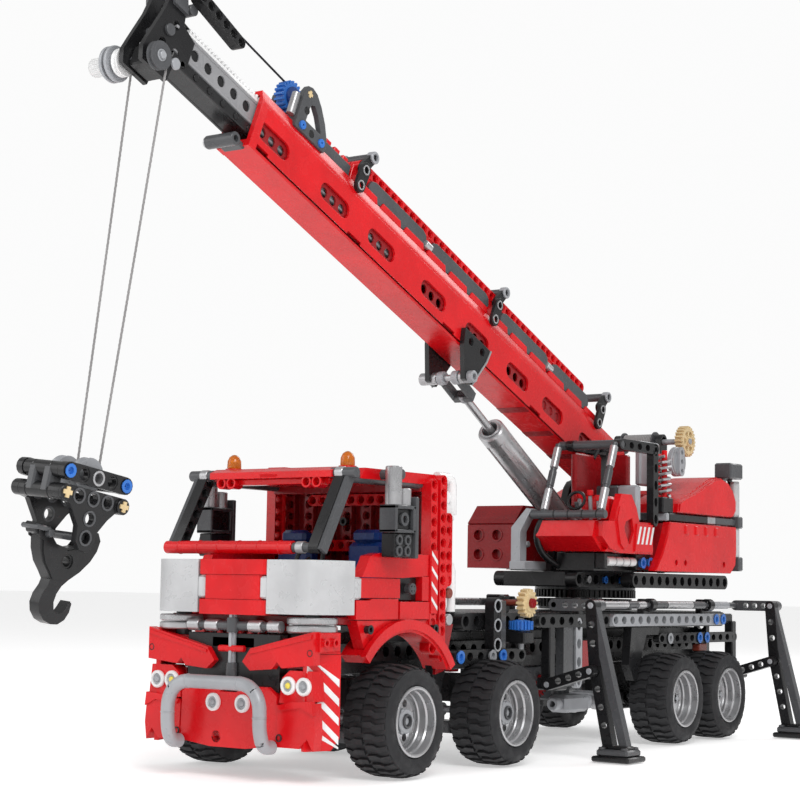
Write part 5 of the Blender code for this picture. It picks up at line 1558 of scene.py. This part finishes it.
def shaft(g, a):
    """Long rod of grey and silver sleeves that swings the arms."""
    g.rod("dark_grey", (a[0], 198.4, a[1]), (a[0], 503.6, a[1]), 2.4)
    runs = ((200.4, 212, "dark_grey", 3.0), (214, 232, "silver", 2.9), (249, 262, "dark_grey", 3.0),
            (263, 306, "silver", 3.0), (307, 322, "dark_grey", 3.0), (323, 334, "silver", 2.9),
            (350, 370, "dark_grey", 3.0), (371, 414, "silver", 3.0), (415, 436, "dark_grey", 3.0),
            (450, 480, "light_grey", 2.9))
    for y0, y1, colour, r in runs:
        g.rod(colour, (a[0], y0, a[1]), (a[0], y1, a[1]), r, 18)


def leg(tag, s, y, b, c):
    """Holed leg beam with the flat strip beside it, and the foot."""
    g = Group(f"leg_set_{tag}", f"outrigger_leg_{tag}", replaces=(f"outrigger_leg_{tag}",))
    foot = (s * 114.0, 10.0)
    g.plate("black", "Y", capsule(b, c, 4.2), y - 3.6, y + 3.6, holes_between(b, c, (0.0, 0.29, 0.58), 2.5))
    holes = holes_between(c, foot, (0.24, 0.48, 0.72), 2.3)
    g.plate("black", "Y", capsule(c, foot, 3.9), y - 3.6, y + 3.6, holes)
    g.rod("light_grey", (c[0], y - 3.7, c[1]), (c[0], y + 4.2, c[1]), 2.3)
    g.plate("dark_grey", "Y", capsule((b[0] + s * 1.0, b[1] - 0.4), (s * 126.0, 9.0), 3.0), y - 3.2,
            y + 3.5)
    x0, x1 = s * 106.2, s * 134.8
    g.box("black", (x0, x1), (y - 12.8, y + 12.8), (0.2, 4.0), 0.9)
    g.box("dark_grey", (s * 108.6, s * 132.4), (y - 10.4, y + 10.4), (3.8, 8.6), 1.2)
    g.box("black", (s * 110.0, s * 130.0), (y - 5.2, y + 5.2), (8.4, 10.8), 0.6)
    for x in (112.0, 129.0):
        for t in (-7.6, 7.6):
            g.add("dark_grey", cylinder(2.4, 8.4, 10.0, 14), at(s * x, y + t, 0))


def cranks():
    g = Group("outrigger_crank_set", "outrigger_crank", replaces=("outrigger_crank",))
    y, z = OUTRIGGER_CRANK
    g.rod("brown", (38.4, y, z), (73.0, y, z), 2.2)
    g.add("tan", gear(16, 9.9, 5.4), at(67.4, y, z, "X"))
    g.add("tan", turned([(2.4, -3.4), (6.2, -3.4), (7.4, 0), (6.2, 3.4), (2.4, 3.4)], 20),
          at(67.6, y, z, "X"))
    g.rod("brown", (64.2, y, z), (71.4, y, z), 3.6, 18)
    # Darkened red cap at the crank's end: painted shade.
    g.add("dark_red", cylinder(3.4, 71.0, 73.4, 18), at(0, y, z, "X"))
    steering = Group("steering_gear_set", "steering_gear", replaces=("steering_gear",))
    hub = turned([(2.4, -3.4), (6.0, -3.4), (6.8, 0), (6.0, 3.4), (2.4, 3.4)], 20)
    for shape in (gear(20, 8.4, 5.8), hub):
        steering.add("blue", shape, at(63, y, 90.8))
    steering.rod("light_grey", (63, y, 74.4), (63, y, 95.6), 2.1)


# ---------------------------------------------------------------- run

def dress():
    wheels()
    knuckles()
    bumper()
    corner_panels()
    nose()
    bull_bar()
    cab_shell()
    cab_top()
    cab_pillars()
    cab_seats()
    cab_back()
    boom_box()
    boom_head()
    sheaves()
    luffing_cylinder()
    hook_block()
    ropes()
    cord()
    slewing_ring()
    rear_covers()
    operator_cab()
    engine_box()
    spine()
    side_frames()
    outriggers()
    cranks()


# Camera as fitted to the photograph: place in drawing units, angles in degrees, lens in millimetres.
CAMERA_AT = Vector((736.85, -946.03, 115.66))
YAW, PITCH_UP, ROLL, LENS = 35.14, 5.69, 0.98, 84.3
FLOOR_HALF, FLOOR_GAP = 9.0, 0.0004     # metres


def camera():
    yaw, rise, roll = (math.radians(v) for v in (YAW, PITCH_UP, ROLL))
    look = Vector((-math.sin(yaw) * math.cos(rise), math.cos(yaw) * math.cos(rise), math.sin(rise)))
    right = look.cross(Vector((0, 0, 1))).normalized()
    up = right.cross(look)
    right, up = right * math.cos(roll) + up * math.sin(roll), up * math.cos(roll) - right * math.sin(roll)
    data = bpy.data.cameras.new("camera")
    data.lens, data.sensor_width, data.clip_start = LENS, 36.0, 0.01
    obj = bpy.data.objects.new("camera", data)
    bpy.context.scene.collection.objects.link(obj)
    rows = Matrix((right, up, -look)).transposed().to_4x4()
    obj.matrix_world = Matrix.Translation(TRUCK @ CAMERA_AT) @ rows
    bpy.context.scene.camera = obj


def light(name, place, aim, size, power):
    data = bpy.data.lights.new(name, "AREA")
    data.size, data.energy = size, power
    obj = bpy.data.objects.new(name, data)
    bpy.context.scene.collection.objects.link(obj)
    obj.matrix_world = (Matrix.Translation(place)
                        @ (Vector(place) - Vector(aim)).to_track_quat("Z", "Y").to_matrix().to_4x4())


def studio():
    """Pale floor, white surroundings seen brighter than they light, and three soft lamps."""
    mesh = bpy.data.meshes.new("floor")
    corners = ((-1, -1), (1, -1), (1, 1), (-1, 1))
    mesh.from_pydata([(FLOOR_HALF * x, FLOOR_HALF * y, 0) for x, y in corners], [], [(0, 1, 2, 3)])
    floor = bpy.data.objects.new("floor", mesh)
    pale = bpy.data.materials.new("floor_pale")
    pale.use_nodes = True
    for name, value in (("Base Color", (0.9, 0.9, 0.9, 1.0)), ("Roughness", 0.7),
                        ("Emission Color", (1.0, 1.0, 1.0, 1.0)), ("Emission Strength", 0.42)):
        pale.node_tree.nodes["Principled BSDF"].inputs[name].default_value = value
    mesh.materials.append(pale)
    floor.location.z = CAD_BOX[0].z - FLOOR_GAP
    bpy.context.scene.collection.objects.link(floor)
    world = bpy.data.worlds.new("sky")
    world.use_nodes = True
    world.node_tree.nodes["Background"].inputs["Color"].default_value = (1.0, 1.0, 1.0, 1.0)
    seen = world.node_tree.nodes.new("ShaderNodeLightPath").outputs["Is Camera Ray"]
    level = world.node_tree.nodes.new("ShaderNodeMapRange")
    level.inputs["To Min"].default_value, level.inputs["To Max"].default_value = 0.5, 0.97
    world.node_tree.links.new(seen, level.inputs["Value"])
    world.node_tree.links.new(level.outputs["Result"],
                              world.node_tree.nodes["Background"].inputs["Strength"])
    bpy.context.scene.world = world
    light("key", (0.8, -0.75, 0.95), (0, 0, 0.09), 0.6, 9)
    light("fill", (-0.9, -0.9, 0.55), (0, -0.06, 0.09), 0.8, 3)
    light("rim", (0.12, 1.0, 0.9), (0, 0, 0.12), 0.65, 4)
    bpy.context.scene.view_settings.view_transform = "Standard"


dress()
for each in GROUPS:
    build(each)
camera()
studio()
bpy.context.view_layer.update()
